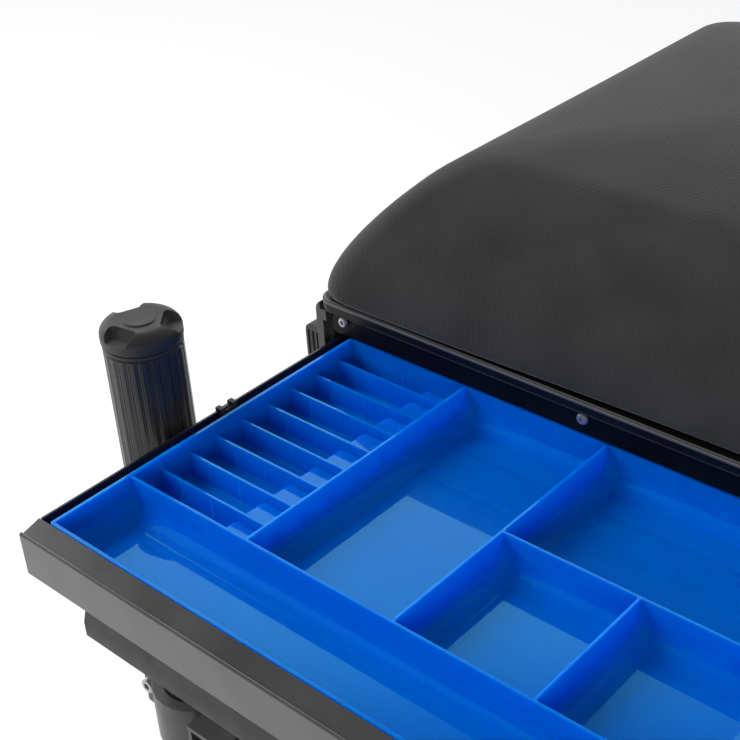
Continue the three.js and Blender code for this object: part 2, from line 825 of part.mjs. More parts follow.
// Deep drawer, shut: its front stands in line with the front drawer's when that is shut too
const drawerTravel = bodyFront - sheetSetback - clearance * 2 - sheetSetback;
const deepTop = rimHeight - deepPanelTop;
const deepBottom = cabinetBottom + cabinetFloor + clearance;
const deepPanel = makePanel(panelFront, deepTop, deepBottom).translate(0, drawerTravel, 0);
const deepBox = makePan(
  railHalfWidth, panelBack + clearance, panelBack + deepDrawerDepth,
  deepBottom, deepTop - deepWallDrop, deepTop - deepWallDrop,
);
piece('deep_drawer_box', deepBox.translate(0, drawerTravel, 0), coatedSteel, 0.35, 0.3);
piece('deep_drawer_panel', deepPanel, moulded, 0.42);
piece('deep_drawer_pull', makePull(panelFront, deepBottom).translate(0, drawerTravel, 0), darkMoulded, 0.5);

// Lid: a board with a rim that rests on the flange of the well
function makeLid() {
  const bottom = rimHeight + lidBottom;
  const top = bottom + lidHeight;
  const y1 = lidFront + lidDepth;
  const outline = roundedRectangle(-lidHalfWidth, lidHalfWidth, lidFront, y1, lidRadius);
  const inner = roundedRectangle(
    -lidHalfWidth + lidRimWidth, lidHalfWidth - lidRimWidth,
    lidFront + lidRimWidth, y1 - lidRimWidth, lidRadius - lidRimWidth,
  );
  return cut(upright(outline, bottom, top), upright(inner, bottom - overrun, top - lidBoard));
}
piece('lid_frame', makeLid(), moulded, 0.5);

// Cushion: rings that tuck in at the foot, rise over a round shoulder and crown in the middle
function cushionRing(inset, z, drawIn) {
  const halfX = cushionHalfWidth - inset;
  const halfY = cushionDepth / 2 - inset;
  const radius = Math.max(cushionRadius - inset / 3, cushionRadius * leastCornerShare);
  const middle = cushionFront + cushionDepth / 2;
  const steps = 4;
  const sideSteps = 5;
  const corners = ringPoints(-halfX, halfX, middle - halfY, middle + halfY, radius, z, steps);
  const points = [];
  for (let corner = 0; corner < 4; corner += 1) {
    const arc = corners.slice(corner * (steps + 1), (corner + 1) * (steps + 1));
    points.push(...arc);
    const from = arc.at(-1);
    const to = corners[((corner + 1) * (steps + 1)) % corners.length];
    const angle = (corner * Math.PI) / 2;
    for (let i = 1; i < sideSteps; i += 1) {
      const t = i / sideSteps;
      const pull = drawIn * Math.sin(Math.PI * t);
      points.push([
        from[0] + (to[0] - from[0]) * t - pull * Math.cos(angle),
        from[1] + (to[1] - from[1]) * t - pull * Math.sin(angle),
        z,
      ]);
    }
  }
  return points;
}
function makeCushion() {
  const foot = rimHeight + lidBottom + lidHeight + clearance;
  const widest = foot + cushionTuckHeight;
  const halfDepth = cushionDepth / 2;
  const rings = [
    cushionRing(cushionTuck, foot, cushionDrawIn),
    cushionRing(cushionTuck / 4, foot + cushionTuckHeight / 3, cushionDrawIn),
    cushionRing(0, widest, cushionDrawIn * sideDrawShare),
  ];
  for (const share of cushionShares) {
    const inset = share * cushionShoulder;
    const rise = cushionSideHeight * Math.min(share, 1) ** shoulderShare;
    const crown = cushionCrown * (1 - (1 - inset / halfDepth) ** 2);
    const drawIn = cushionDrawIn * sideDrawShare * (1 - Math.min(share, 1));
    rings.push(cushionRing(inset, widest + rise + crown, drawIn));
  }
  return stack(rings);
}
piece('seat_cushion', makeCushion(), cloth, 0.9);

// Lid hinge: knuckles of the two leaves take turns along one pin
const hingeY = lidFront + lidDepth + hingeBehindLid;
const hingeZ = rimHeight + hingeAxisHeight;
const knuckleLength = (2 * hingeHalfWidth) / knuckleCount;
const knuckleStarts = Array.from({ length: knuckleCount }, (_, i) => i * knuckleLength - hingeHalfWidth);
const bodyKnuckles = knuckleStarts.filter((_, i) => i % 2 === 0);
const lidKnuckles = knuckleStarts.filter((_, i) => i % 2 === 1);
const knuckle = (x0, x1) => alongX(rod(knuckleRadius, x0, x1), 0, hingeY, hingeZ);
const hingeBore = () => {
  const reach = hingeHalfWidth + overrun;
  return alongX(rod(hingePinRadius + clearance, -reach, reach), 0, hingeY, hingeZ);
};
function makeBodyLeaf() {
  const front = bodyBack + clearance;
  const neckBottom = hingeZ - knuckleRadius;
  const neckTop = neckBottom + leafThickness;
  const plate = block(
    -hingeHalfWidth, hingeHalfWidth, front, front + leafThickness, rimHeight - cassetteDrop, neckTop,
  );
  const ears = bodyKnuckles.map((x) => join(
    block(x, x + knuckleLength, front, hingeY, neckBottom, neckTop),
    knuckle(x, x + knuckleLength),
  ));
  return cut(join(plate, ...ears), hingeBore());
}
function makeLidLeaf() {
  const front = lidFront + lidDepth + clearance;
  const back = front + leafThickness;
  const shelf = hingeZ + knuckleRadius + clearance * 2;
  const plate = block(-hingeHalfWidth, hingeHalfWidth, front, back, shelf, rimHeight + lidLeafTop);
  const ears = lidKnuckles.map((x) => join(
    block(
      x + clearance, x + knuckleLength - clearance, front, back,
      hingeZ - knuckleRadius / 2, shelf + clearance,
    ),
    knuckle(x + clearance, x + knuckleLength - clearance),
  ));
  return cut(join(plate, ...ears), hingeBore());
}
function makeHingePin() {
  const reach = hingeHalfWidth + clearance;
  return alongX(rod(hingePinRadius, -reach, reach, 12), 0, hingeY, hingeZ);
}
piece('body_hinge_leaf', makeBodyLeaf(), coatedSteel, 0.4, 0.3);
piece('lid_hinge_leaf', makeLidLeaf(), coatedSteel, 0.4, 0.3);
piece('hinge_pin', makeHingePin(), bareSteel, 0.3, 1);

// Side clips: a lever on trunnions in a bracket of the cabinet, hooked into the pillar of the cassette
function clipLever(front) {
  const inner = pillarOuter + clearance;
  const outer = pillarOuter + clipOuter;
  const back = front + clipWidth;
  const gripBottom = clipTopZ - clipGripHeight;
  const grip = new THREE.Shape();
  grip.moveTo(inner, gripBottom);
  grip.lineTo(outer, gripBottom);
  grip.lineTo(outer, clipTopZ - clipGripRadius);
  grip.absarc(outer - clipGripRadius, clipTopZ - clipGripRadius, clipGripRadius, 0, Math.PI / 2);
  grip.lineTo(inner, clipTopZ);
  const armInner = pivotX - clipEyeRadius;
  const rootFront = front + clipEarInset + clipEar + clearance;
  const rootBack = back - clipEarInset - clipEar - clearance;
  const lever = join(
    backward(grip, front, back, 4),
    block(armInner, outer, front, back, pivotZ + clipEyeRadius + clipRoom, gripBottom + overrun),
    block(armInner, outer, rootFront, rootBack, pivotZ, pivotZ + clipEyeRadius + clipRoom * 2),
    alongY(rod(clipEyeRadius, rootFront - rootBack, 0), pivotX, rootFront, pivotZ),
    alongY(rod(clipPinRadius, clipEarInset - clipWidth, -clipEarInset), pivotX, front, pivotZ),
    block(
      pillarOuter - clipToothReach, inner + overrun,
      front + clipToothInset, back - clipToothInset,
      toothTop - clipToothHeight, toothTop,
    ),
  );
  const pitch = (outer - inner - clipRibInset) / clipRibCount;
  const grooves = Array.from({ length: clipRibCount }, (_, i) => block(
    inner + clipRibInset + i * pitch, inner + clipRibInset + i * pitch + clipRibWidth,
    front - overrun, front + clipRibDepth,
    gripBottom + clipRibDrop, clipTopZ - clipRibDrop,
  ));
  return cut(lever, ...grooves);
}
for (const [end, front] of [['front', clipFronts[0]], ['rear', clipFronts[1]]]) {
  piece(`clip_lever_${end}_right`, clipLever(front), darkMoulded, 0.55);
  piece(`clip_lever_${end}_left`, mirrored(clipLever(front)), darkMoulded, 0.55);
}

// Chassis under the cabinet, welded from square tube, with the guides of the footplate bars
const chassisTop = cabinetBottom - clearance;
const chassisBottom = chassisTop - railHeight;
const deckTop = chassisBottom + deckThickness - clearance * 5;
const deckBottom = deckTop - deckThickness;
const barTop = deckBottom - clearance;
const railFront = frontLegY - railFrontReach;
const railBack = bodyBack - crossInset;
function makeRail() {
  return block(railInner, railInner + railWidth, railFront, railBack, chassisBottom, chassisTop);
}
function makeRailHollow() {
  return block(
    railInner + railWall, railInner + railWidth - railWall, railFront - overrun, railBack + overrun,
    chassisBottom + railWall, chassisTop - railWall,
  );
}
function makeCross(front) {
  const half = railInner + railWall / 2;
  return block(-half, half, front, front + crossDepth, chassisBottom, chassisTop);
}
function makeCrossHollow(front) {
  const half = railInner + railWall * 2;
  return block(
    -half, half, front + railWall, front + crossDepth - railWall,
    chassisBottom + railWall, chassisTop - railWall,
  );
}
function makeGuide(crossFront) {
  const front = crossFront + (crossDepth - guideLength) / 2;
  const half = barWidth / 2 + clearance;
  const bottom = barTop - barHeight - clearance;
  return cut(
    block(
      barCentre - half - guideWall, barCentre + half + guideWall, front, front + guideLength,
      bottom - guideWall, chassisBottom + railWall / 2,
    ),
    block(
      barCentre - half, barCentre + half, front - overrun, front + guideLength + overrun,
      bottom, barTop + clearance,
    ),
  );
}
const crossFronts = [
  bodyFront + crossInset,
  bodyFront + middleCrossBack - crossDepth,
  railBack - crossDepth,
];
const guides = crossFronts.slice(0, 2).map(makeGuide);
const tubes = join(makeRail(), mirrored(makeRail()), ...crossFronts.map(makeCross));
const hollows = [makeRailHollow(), mirrored(makeRailHollow()), ...crossFronts.map(makeCrossHollow)];
piece(
  'chassis_frame',
  join(cut(tubes, ...hollows), ...guides, ...guides.map(mirrored)),
  coatedSteel, 0.4, 0.3,
);

// Footplate: a deck on two bars that slide in guides under the cross tubes
function makeDeck() {
  const back = deckFront + deckDepth;
  const lipBack = deckFront + deckNoseDrop;
  const deck = across(polygon([
    [deckFront, deckTop - deckNoseLip],
    [lipBack, deckTop - deckNoseLip],
    [lipBack, deckBottom],
    [back, deckBottom],
    [back, deckTop],
    [deckFront + deckNoseSlope, deckTop],
    [deckFront, deckTop - deckNoseDrop],
  ]), -deckHalfWidth, deckHalfWidth);
  const pitch = (deckDepth - deckNoseSlope) / deckSlotCount;
  const grooves = Array.from({ length: deckSlotCount }, (_, i) => {
    const middle = deckFront + deckNoseSlope + (i + 1 / 2) * pitch;
    return block(
      -deckSlotHalfLength, deckSlotHalfLength,
      middle - deckSlotWidth / 2, middle + deckSlotWidth / 2,
      deckTop - deckSlotDepth, deckTop + overrun,
    );
  });
  return cut(deck, ...grooves);
}
piece('footplate_deck', makeDeck(), darkMoulded, 0.6);
function makeBar() {
  const half = barWidth / 2;
  const front = deckFront + barFrontInset;
  return cut(
    block(barCentre - half, barCentre + half, front, barBack, barTop - barHeight, barTop),
    block(
      barCentre - half + barWall, barCentre + half - barWall, front - overrun, barBack + overrun,
      barTop - barHeight + barWall, barTop - barWall,
    ),
  );
}
piece('footplate_bar_right', makeBar(), bareSteel, 0.35, 0.9);
piece('footplate_bar_left', mirrored(makeBar()), bareSteel, 0.35, 0.9);
// Leg clamps: a split ring with a flat foot on the rail and a bolted lug on its outer side
const boltZ = (chassisTop + chassisBottom) / 2;
const boltX = legAxisX + clampRadius + clampLug / 2;
function makeClamp(y) {
  const z0 = boltZ - clampHeight / 2;
  const z1 = boltZ + clampHeight / 2;
  const body = join(
    rod(clampRadius, z0, z1, legSides).translate(legAxisX, y, 0),
    block(legAxisX, legAxisX + clampRadius + clampLug, y - clampLugWidth / 2, y + clampLugWidth / 2, z0, z1),
  );
  const railFace = railInner + railWidth + clearance;
  return cut(
    body,
    rod(legRadius + clearance, z0 - overrun, z1 + overrun, legSides).translate(legAxisX, y, 0),
    block(
      legAxisX, legAxisX + clampRadius + clampLug + overrun, y - clampSlit / 2, y + clampSlit / 2,
      z0 - overrun, z1 + overrun,
    ),
    block(
      legAxisX - clampRadius - overrun, railFace, y - clampRadius, y + clampRadius,
      z0 - overrun, z1 + overrun,
    ),
    alongY(rod(clampBoltRadius + clearance, -clampLugWidth, clampLugWidth, 12), boltX, y, boltZ),
  );
}
function clampBolt(y) {
  const half = clampLugWidth / 2;
  const bolt = lathe([
    [0, -half - clampBoltRadius],
    [clampBoltRadius, -half - clampBoltRadius],
    [clampBoltRadius, half + clearance],
    [clampBoltHead, half + clearance],
    [clampBoltHead, half + clearance + clampBoltHeadHeight],
    [0, half + clearance + clampBoltHeadHeight],
  ], 10);
  return alongY(bolt, boltX, y, boltZ);
}

// Legs: an outer tube held by the clamp, a twist cap on top and a telescopic inner tube on a rubber foot
const innerLegRadius = legRadius - legWall - clearance;
function legTube(y, top) {
  return ring(legRadius, legRadius - legWall, top - legTubeLength, top, legSides).translate(legAxisX, y, 0);
}
function innerLeg(y) {
  const foot = footHeight - footSocket;
  const tube = ring(innerLegRadius, innerLegRadius - innerLegWall, foot, foot + innerLegLength, legSides);
  return tube.translate(legAxisX, y, 0);
}
function legFoot(y) {
  const socket = innerLegRadius + clearance;
  const floor = footHeight - footSocket - clearance;
  const foot = lathe([
    [0, 0],
    [footRadius - footEdge / 2, 0],
    [footRadius, footEdge / 2],
    [footRadius, footEdge * 2],
    [footNeckRadius, footEdge * 4],
    [footNeckRadius, footHeight],
    [socket, footHeight],
    [socket, floor],
    [0, floor],
  ], legSides);
  return foot.translate(legAxisX, y, 0);
}
function legCap(y, top) {
  const start = top + clearance;
  const body = lathe([
    [0, -capPlugLength],
    [capPlugRadius, -capPlugLength],
    [capPlugRadius, 0],
    [capRingRadius, 0],
    [capRingRadius, capRingHeight],
    [capRingRadius - capGroove, capRingHeight],
    [capRingRadius - capGroove, capRingHeight + capGroove],
    [capRadius, capRingHeight + capGroove],
    [capRadius, capDomeStart],
    [(capRadius * 2 + capTopRadius) / 3, (capDomeStart + capHeight * 2) / 3],
    [capTopRadius, capHeight],
    [capDiscRadius, capHeight],
    [capDiscRadius - capDiscRise, capHeight + capDiscRise],
    [0, capHeight + capDiscRise],
  ], legSides);
  const fingers = Array.from({ length: fingerCount }, (_, i) => {
    const recess = roundedRectangle(
      fingerInner, capRadius + overrun * 2, -fingerWidth / 2, fingerWidth / 2, fingerCorner,
    );
    const tool = upright(recess, capHeight - fingerDepth, capHeight + overrun, 2);
    return tool.rotateZ(fingerTurn + (i * 2 * Math.PI) / fingerCount);
  });
  return cut(body, ...fingers).translate(legAxisX, y, start);
}
const legEnds = [
  ['front', frontLegY, rimHeight + frontTubeTop],
  ['rear', rearLegY, rimHeight - rearTubeDrop],
];
for (const [end, y, top] of legEnds) {
  for (const [side, place] of [['left', mirrored], ['right', (geometry) => geometry]]) {
    piece(`leg_clamp_${end}_${side}`, place(makeClamp(y)), coatedAluminium, 0.45, 0.2);
    piece(`clamp_bolt_${end}_${side}`, place(clampBolt(y)), bareSteel, 0.3, 1);
    piece(`leg_tube_${end}_${side}`, place(legTube(y, top)), coatedAluminium, 0.35, 0.5);
    piece(`leg_cap_${end}_${side}`, place(legCap(y, top)), moulded, 0.55);
    piece(`inner_leg_${end}_${side}`, place(innerLeg(y)), bareSteel, 0.35, 0.9);
    piece(`leg_foot_${end}_${side}`, place(legFoot(y)), rubber, 0.9);
  }
}

// Centre the footprint on the origin
const box = new THREE.Box3().setFromObject(seatBox);
const shift = (box.min.y + box.max.y) / 2;
for (const mesh of seatBox.children) mesh.geometry.translate(0, -shift, -box.min.z);

export default seatBox;
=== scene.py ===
import math

import bmesh
import bpy
from mathutils import Matrix, Vector


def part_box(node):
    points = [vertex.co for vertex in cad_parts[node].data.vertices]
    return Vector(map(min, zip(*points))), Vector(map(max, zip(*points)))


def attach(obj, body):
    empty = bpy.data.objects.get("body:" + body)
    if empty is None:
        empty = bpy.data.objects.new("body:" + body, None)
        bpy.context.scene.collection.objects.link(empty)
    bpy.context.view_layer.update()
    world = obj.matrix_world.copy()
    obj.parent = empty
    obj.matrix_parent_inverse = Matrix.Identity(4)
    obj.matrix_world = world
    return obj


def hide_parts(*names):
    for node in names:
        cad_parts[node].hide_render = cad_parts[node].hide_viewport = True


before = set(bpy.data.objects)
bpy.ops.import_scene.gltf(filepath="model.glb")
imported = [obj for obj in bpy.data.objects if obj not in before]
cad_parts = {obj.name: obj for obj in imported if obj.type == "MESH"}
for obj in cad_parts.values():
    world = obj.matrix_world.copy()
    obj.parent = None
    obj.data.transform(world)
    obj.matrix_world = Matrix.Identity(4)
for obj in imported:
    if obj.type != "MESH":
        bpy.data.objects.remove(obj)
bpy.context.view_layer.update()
millimetre = 0.001


def mm(*values):
    # lengths below are written in millimetres, Blender works in metres
    return tuple(value * millimetre for value in values)


def span(node):
    # x0, x1, y0, y1, z0, z1 of a node, in millimetres
    low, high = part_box(node)
    return [value / millimetre for pair in zip(low, high) for value in pair]


def newPiece(name, points, faces):
    mesh = bpy.data.meshes.new(name)
    mesh.from_pydata([mm(*point) for point in points], [], faces)
    mesh.update()
    piece = bpy.data.objects.new(name, mesh)
    bpy.context.scene.collection.objects.link(piece)
    return piece


def bakeModifiers(piece):
    # the evaluated shape becomes the piece's own plain mesh
    bpy.context.view_layer.update()
    evaluated = piece.evaluated_get(bpy.context.evaluated_depsgraph_get())
    mesh = bpy.data.meshes.new_from_object(evaluated)
    piece.modifiers.clear()
    piece.data = mesh
    return piece


def smooth(piece, angle=35):
    # curved faces shade as one, and large flat faces keep their own normals
    piece.data.shade_smooth()
    piece.data.set_sharp_from_angle(angle=math.radians(angle))
    weigh = piece.modifiers.new("normals", "WEIGHTED_NORMAL")
    weigh.keep_sharp = True
    return bakeModifiers(piece)


def roundEdges(piece, radius, segments=3, angle=35):
    bevel = piece.modifiers.new("edges", "BEVEL")
    bevel.width = radius * millimetre
    bevel.segments = segments
    bevel.limit_method = "ANGLE"
    bevel.angle_limit = math.radians(angle)
    bevel.use_clamp_overlap = True
    return smooth(bakeModifiers(piece), angle)


def combine(piece, tool, operation):
    boolean = piece.modifiers.new("shape", "BOOLEAN")
    boolean.operation = operation
    boolean.solver = "MANIFOLD"
    boolean.object = tool
    bakeModifiers(piece)
    bpy.data.objects.remove(tool)
    return piece


def finish(piece, body, nodes, material):
    piece.data.materials.clear()
    piece.data.materials.append(material)
    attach(piece, body)
    if nodes:
        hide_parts(*nodes)
    return piece


def loft(name, rings, looped=False):
    # body through rings of equal counts, each anticlockwise from above, capped or looped
    count = len(rings[0])
    faces = []
    for level in range(len(rings) if looped else len(rings) - 1):
        a = level * count
        b = (level + 1) % len(rings) * count
        for i in range(count):
            j = (i + 1) % count
            faces.append((a + i, a + j, b + j, b + i))
    if not looped:
        faces.append(tuple(reversed(range(count))))
        last = (len(rings) - 1) * count
        faces.append(tuple(range(last, last + count)))
    return newPiece(name, [point for ring in rings for point in ring], faces)


def roundedRing(x0, x1, y0, y1, radius, z, steps=6):
    corners = [
        (x1, y0, 1, -1, -90), (x1, y1, 1, 1, 0), (x0, y1, -1, 1, 90), (x0, y0, -1, -1, 180),
    ]
    ring = []
    for cx, cy, sx, sy, start in corners:
        for i in range(steps + 1):
            turn = math.radians(start + 90 * i / steps)
            ring.append((
                cx - sx * radius + radius * math.cos(turn),
                cy - sy * radius + radius * math.sin(turn),
                z,
            ))
    return ring


def joined(name, pieces):
    # several closed bodies as one object
    points, faces = [], []
    for piece in pieces:
        start = len(points)
        mesh = piece.data
        points += [tuple(value / millimetre for value in vertex.co) for vertex in mesh.vertices]
        faces += [tuple(start + i for i in polygon.vertices) for polygon in mesh.polygons]
        bpy.data.objects.remove(piece)
    return newPiece(name, points, faces)


def turned(name, profile, centre, segments=96, towardsFront=False):
    # a profile of (radius, height) points turned upright or towards the front, closed on its axis
    # or on itself
    onAxis = profile[0][0] == 0
    points, faces = [], []
    middle = profile[1:-1] if onAxis else profile[:-1]
    for radius, height in middle:
        for i in range(segments):
            turn = 2 * math.pi * i / segments
            points.append((radius * math.cos(turn), radius * math.sin(turn), height))
    levels = len(middle)
    pairs = [(i, i + 1) for i in range(levels - 1)]
    if not onAxis:
        pairs.append((levels - 1, 0))
    for low, high in pairs:
        a, b = low * segments, high * segments
        for i in range(segments):
            j = (i + 1) % segments
            faces.append((a + i, a + j, b + j, b + i))
    if onAxis:
        foot = len(points)
        points += [(0, 0, profile[0][1]), (0, 0, profile[-1][1])]
        top = (levels - 1) * segments
        for i in range(segments):
            j = (i + 1) % segments
            faces.append((foot, j, i))
            faces.append((foot + 1, top + i, top + j))
    if towardsFront:
        points = [(x, -z, y) for x, y, z in points]
    cx, cy, cz = centre
    return newPiece(name, [(cx + x, cy + y, cz + z) for x, y, z in points], faces)


def block(name, x0, x1, y0, y1, z0, z1):
    return loft(name, [
        [(x0, y0, z), (x1, y0, z), (x1, y1, z), (x0, y1, z)] for z in (z0, z1)
    ])


mergeDistance = 0.01 * millimetre
flatAngle = math.radians(0.5)  # faces this close to one plane become one face


def cadCopy(name, node, radius, segments=2):
    # the node's own shape with its triangles merged and its edges rounded
    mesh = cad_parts[node].data.copy()
    mesh.transform(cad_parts[node].matrix_world)
    mesh.name = name
    piece = bpy.data.objects.new(name, mesh)
    bpy.context.scene.collection.objects.link(piece)
    work = bmesh.new()
    work.from_mesh(mesh)
    bmesh.ops.remove_doubles(work, verts=work.verts, dist=mergeDistance)
    bmesh.ops.dissolve_limit(
        work, angle_limit=flatAngle, verts=work.verts, edges=work.edges,
        use_dissolve_boundaries=False,
    )
    work.to_mesh(mesh)
    work.free()
    return roundEdges(piece, radius, segments)


def linear(hexColour):
    channels = [int(hexColour[i:i + 2], 16) / 255 for i in (1, 3, 5)]
    return tuple(
        c / 12.92 if c <= 0.04045 else ((c + 0.055) / 1.055) ** 2.4 for c in channels
    ) + (1.0,)


def addNode(tree, kind, inputs=None, **settings):
    node = tree.nodes.new(kind)
    for key, value in settings.items():
        setattr(node, key, value)
    for key, value in (inputs or {}).items():
        if isinstance(value, bpy.types.NodeSocket):
            tree.links.new(value, node.inputs[key])
        else:
            node.inputs[key].default_value = value
    return node


def makeRepeater():
    # copies of a unit on every point, each turned by the point's own angles
    tree = bpy.data.node_groups.new("repeatOnPoints", "GeometryNodeTree")
    for name, kind in (("Points", "Geometry"), ("Unit", "Object"), ("Surface", "Material")):
        tree.interface.new_socket(name, in_out="INPUT", socket_type="NodeSocket" + kind)
    tree.interface.new_socket("Copies", in_out="OUTPUT", socket_type="NodeSocketGeometry")
    given = addNode(tree, "NodeGroupInput").outputs
    unit = addNode(tree, "GeometryNodeObjectInfo", {"Object": given["Unit"]})
    turn = addNode(
        tree, "GeometryNodeInputNamedAttribute", {"Name": "turn"}, data_type="FLOAT_VECTOR",
    )
    rotation = addNode(tree, "FunctionNodeEulerToRotation", {"Euler": turn.outputs["Attribute"]})
    copies = addNode(tree, "GeometryNodeInstanceOnPoints", {
        "Points": given["Points"], "Instance": unit.outputs["Geometry"],
        "Rotation": rotation.outputs["Rotation"],
    })
    solid = addNode(
        tree, "GeometryNodeRealizeInstances", {"Geometry": copies.outputs["Instances"]},
    )
    surfaced = addNode(tree, "GeometryNodeSetMaterial", {
        "Geometry": solid.outputs["Geometry"], "Material": given["Surface"],
    })
    addNode(tree, "NodeGroupOutput", {"Copies": surfaced.outputs["Geometry"]})
    return tree


repeater = makeRepeater()


def repeated(name, unit, spots, material):
    # spots hold a place in millimetres and a turn in radians
    carrier = newPiece(name, [place for place, turn in spots], [])
    turns = carrier.data.attributes.new("turn", "FLOAT_VECTOR", "POINT")
    for i, (place, turn) in enumerate(spots):
        turns.data[i].vector = turn
    copies = carrier.modifiers.new("copies", "NODES")
    copies.node_group = repeater
    given = {"Unit": unit, "Surface": material}
    for item in repeater.interface.items_tree:
        if item.name in given:
            copies[item.identifier] = given[item.name]
    bakeModifiers(carrier)
    bpy.data.objects.remove(unit)
    return carrier


def newMaterial(name, sockets):
    material = bpy.data.materials.new(name)
    material.use_nodes = True
    tree = material.node_tree
    shader = tree.nodes["Principled BSDF"]
    for socket, value in sockets.items():
        shader.inputs[socket].default_value = value
    return material, tree, shader


def objectNoise(tree, size, detail=2.0, stretch=(1, 1, 1)):
    # noise whose lumps are about this many millimetres across
    place = addNode(tree, "ShaderNodeTexCoord").outputs["Object"]
    mapped = addNode(tree, "ShaderNodeMapping", {"Vector": place, "Scale": stretch})
    noise = addNode(tree, "ShaderNodeTexNoise", {
        "Vector": mapped.outputs["Vector"], "Scale": 1 / (size * millimetre), "Detail": detail,
    })
    return noise.outputs["Fac"]


def bump(tree, shader, height, depth, below=None):
    inputs = {"Height": height, "Distance": depth * millimetre, "Strength": 1.0}
    if below:
        inputs["Normal"] = below
    normal = addNode(tree, "ShaderNodeBump", inputs).outputs["Normal"]
    tree.links.new(normal, shader.inputs["Normal"])
    return normal


def remap(tree, value, inputs, outputs, kind="LINEAR"):
    # an end of a range can be a number or another node's result
    return addNode(tree, "ShaderNodeMapRange", {
        "Value": value, "From Min": inputs[0], "From Max": inputs[1],
        "To Min": outputs[0], "To Max": outputs[1],
    }, interpolation_type=kind).outputs["Result"]


def spread(tree, noise, low=0.0, high=1.0):
    # noise keeps near its middle, so that part of it is spread over the whole range
    return remap(tree, noise, (0.3, 0.7), (low, high))


def roughen(tree, shader, noise, roughness, share):
    low, high = roughness * (1 - share), roughness * (1 + share)
    tree.links.new(spread(tree, noise, low, high), shader.inputs["Roughness"])


def tint(tree, shader, noise, dark, light):
    # inputs 6 and 7 of the mix are its two colours, and output 2 their blend
    mix = addNode(tree, "ShaderNodeMix", data_type="RGBA")
    mix.inputs[6].default_value = linear(dark)
    mix.inputs[7].default_value = linear(light)
    tree.links.new(spread(tree, noise), mix.inputs[0])
    tree.links.new(mix.outputs[2], shader.inputs["Base Color"])


# how wide the lumps or lines of each slight variation are, in millimetres
lumps = {
    "colour": 25, "gloss": 9, "wave": 22, "coatColour": 18, "coatGloss": 12, "line": 0.8,
    "clothColour": 30,
}


def moulding(name, dark, light, roughness, grain, grainDepth, waviness=0.0, ior=1.5):
    # injection moulded plastic: an even colour, a spark-eroded grain and slow sink waves
    material, tree, shader = newMaterial(name, {"IOR": ior})
    tint(tree, shader, objectNoise(tree, lumps["colour"]), dark, light)
    roughen(tree, shader, objectNoise(tree, lumps["gloss"]), roughness, 0.12)
    normal = None
    if waviness:
        normal = bump(tree, shader, objectNoise(tree, lumps["wave"], 0.0), waviness)
    if grainDepth:
        bump(tree, shader, objectNoise(tree, grain, 3.0), grainDepth, below=normal)
    return material


def coating(name, colour, lighter, roughness, peel, depth):
    # powder coat on metal: a dark even film with the faint ripple of orange peel
    material, tree, shader = newMaterial(name, {
        "IOR": 1.5, "Coat Weight": 0.15, "Coat Roughness": 0.2,
    })
    tint(tree, shader, objectNoise(tree, lumps["coatColour"]), colour, lighter)
    roughen(tree, shader, objectNoise(tree, lumps["coatGloss"]), roughness, 0.1)
    bump(tree, shader, objectNoise(tree, peel, 2.0), depth)
    return material


def drawnMetal(name, dark, light, roughness, stretch, depth, metallic=1.0):
    # drawn or extruded metal: fine lines along its length
    material, tree, shader = newMaterial(name, {"Metallic": metallic})
    lines = objectNoise(tree, lumps["line"], 3.0, stretch)
    tint(tree, shader, lines, dark, light)
    roughen(tree, shader, lines, roughness, 0.2)
    bump(tree, shader, lines, depth)
    return material


def tune(material, sockets):
    shader = material.node_tree.nodes["Principled BSDF"]
    for socket, value in sockets.items():
        shader.inputs[socket].default_value = value


cloth = {
    "thread": 1.1, "threadDepth": 0.07, "fuzz": 1.1, "fuzzDepth": 0.12, "bias": 0.785,
    "lean": (0.4, 0.3),
}


def seatCloth(size):
    # woven polyester on foam: matt charcoal, a fine thread pattern and a little sheen
    material, tree, shader = newMaterial("wovenCharcoalPolyester", {
        "Roughness": 0.82, "Sheen Weight": 0.55, "Sheen Roughness": 0.4,
        "Sheen Tint": linear("#b0b0b0"), "Specular IOR Level": 0.35,
    })
    tint(tree, shader, objectNoise(tree, lumps["clothColour"]), "#282828", "#303030")
    place = addNode(tree, "ShaderNodeTexCoord").outputs["Object"]
    # the real threads are about 0.5 mm apart, and are drawn wider apart to show in the render
    heights = []
    for turn in (size["bias"], -size["bias"]):
        turnedPlace = addNode(tree, "ShaderNodeMapping", {
            "Vector": place, "Rotation": (*size["lean"], turn),
        })
        wave = addNode(tree, "ShaderNodeTexWave", {
            "Vector": turnedPlace.outputs["Vector"], "Distortion": 2.0,
            "Scale": 1 / (size["thread"] * millimetre) / math.tau,
            "Detail": 1.0, "Detail Scale": 2.0,
        })
        heights.append(wave.outputs["Fac"])
    weave = addNode(tree, "ShaderNodeMath", {0: heights[0], 1: heights[1]}, operation="MULTIPLY")
    woven = bump(tree, shader, weave.outputs[0], size["threadDepth"])
    bump(tree, shader, objectNoise(tree, size["fuzz"], 4.0), size["fuzzDepth"], below=woven)
    return material


# glossy tray plastic, whose pigment also colours its highlights, and whose thin walls and rims
# glow with light from behind
blueStyrene = moulding("mouldedCobaltStyrene", "#005ecb", "#0061cf", 0.03, 1.2, 0.0, ior=1.58)
tune(blueStyrene, {
    "Specular Tint": (0.0, 0.95, 1.0, 1), "Subsurface Weight": 1.0,
    "Subsurface Scale": 7 * millimetre, "Subsurface Radius": (0.1, 0.85, 1.0),
})
# polished drawer fronts, whose slow waves bend what they mirror
panelMoulding = moulding(
    "mouldedPanelAbs", "#363637", "#3e3e3f", 0.2, 0.7, 0.006, waviness=0.35, ior=1.7,
)
# near black and low in gloss, so that the lid's side stays dark beside the blue tray
lidMoulding = moulding("mouldedLidAbs", "#0b0b0c", "#101011", 0.36, 0.7, 0.012)
tune(lidMoulding, {"Specular IOR Level": 0.2})
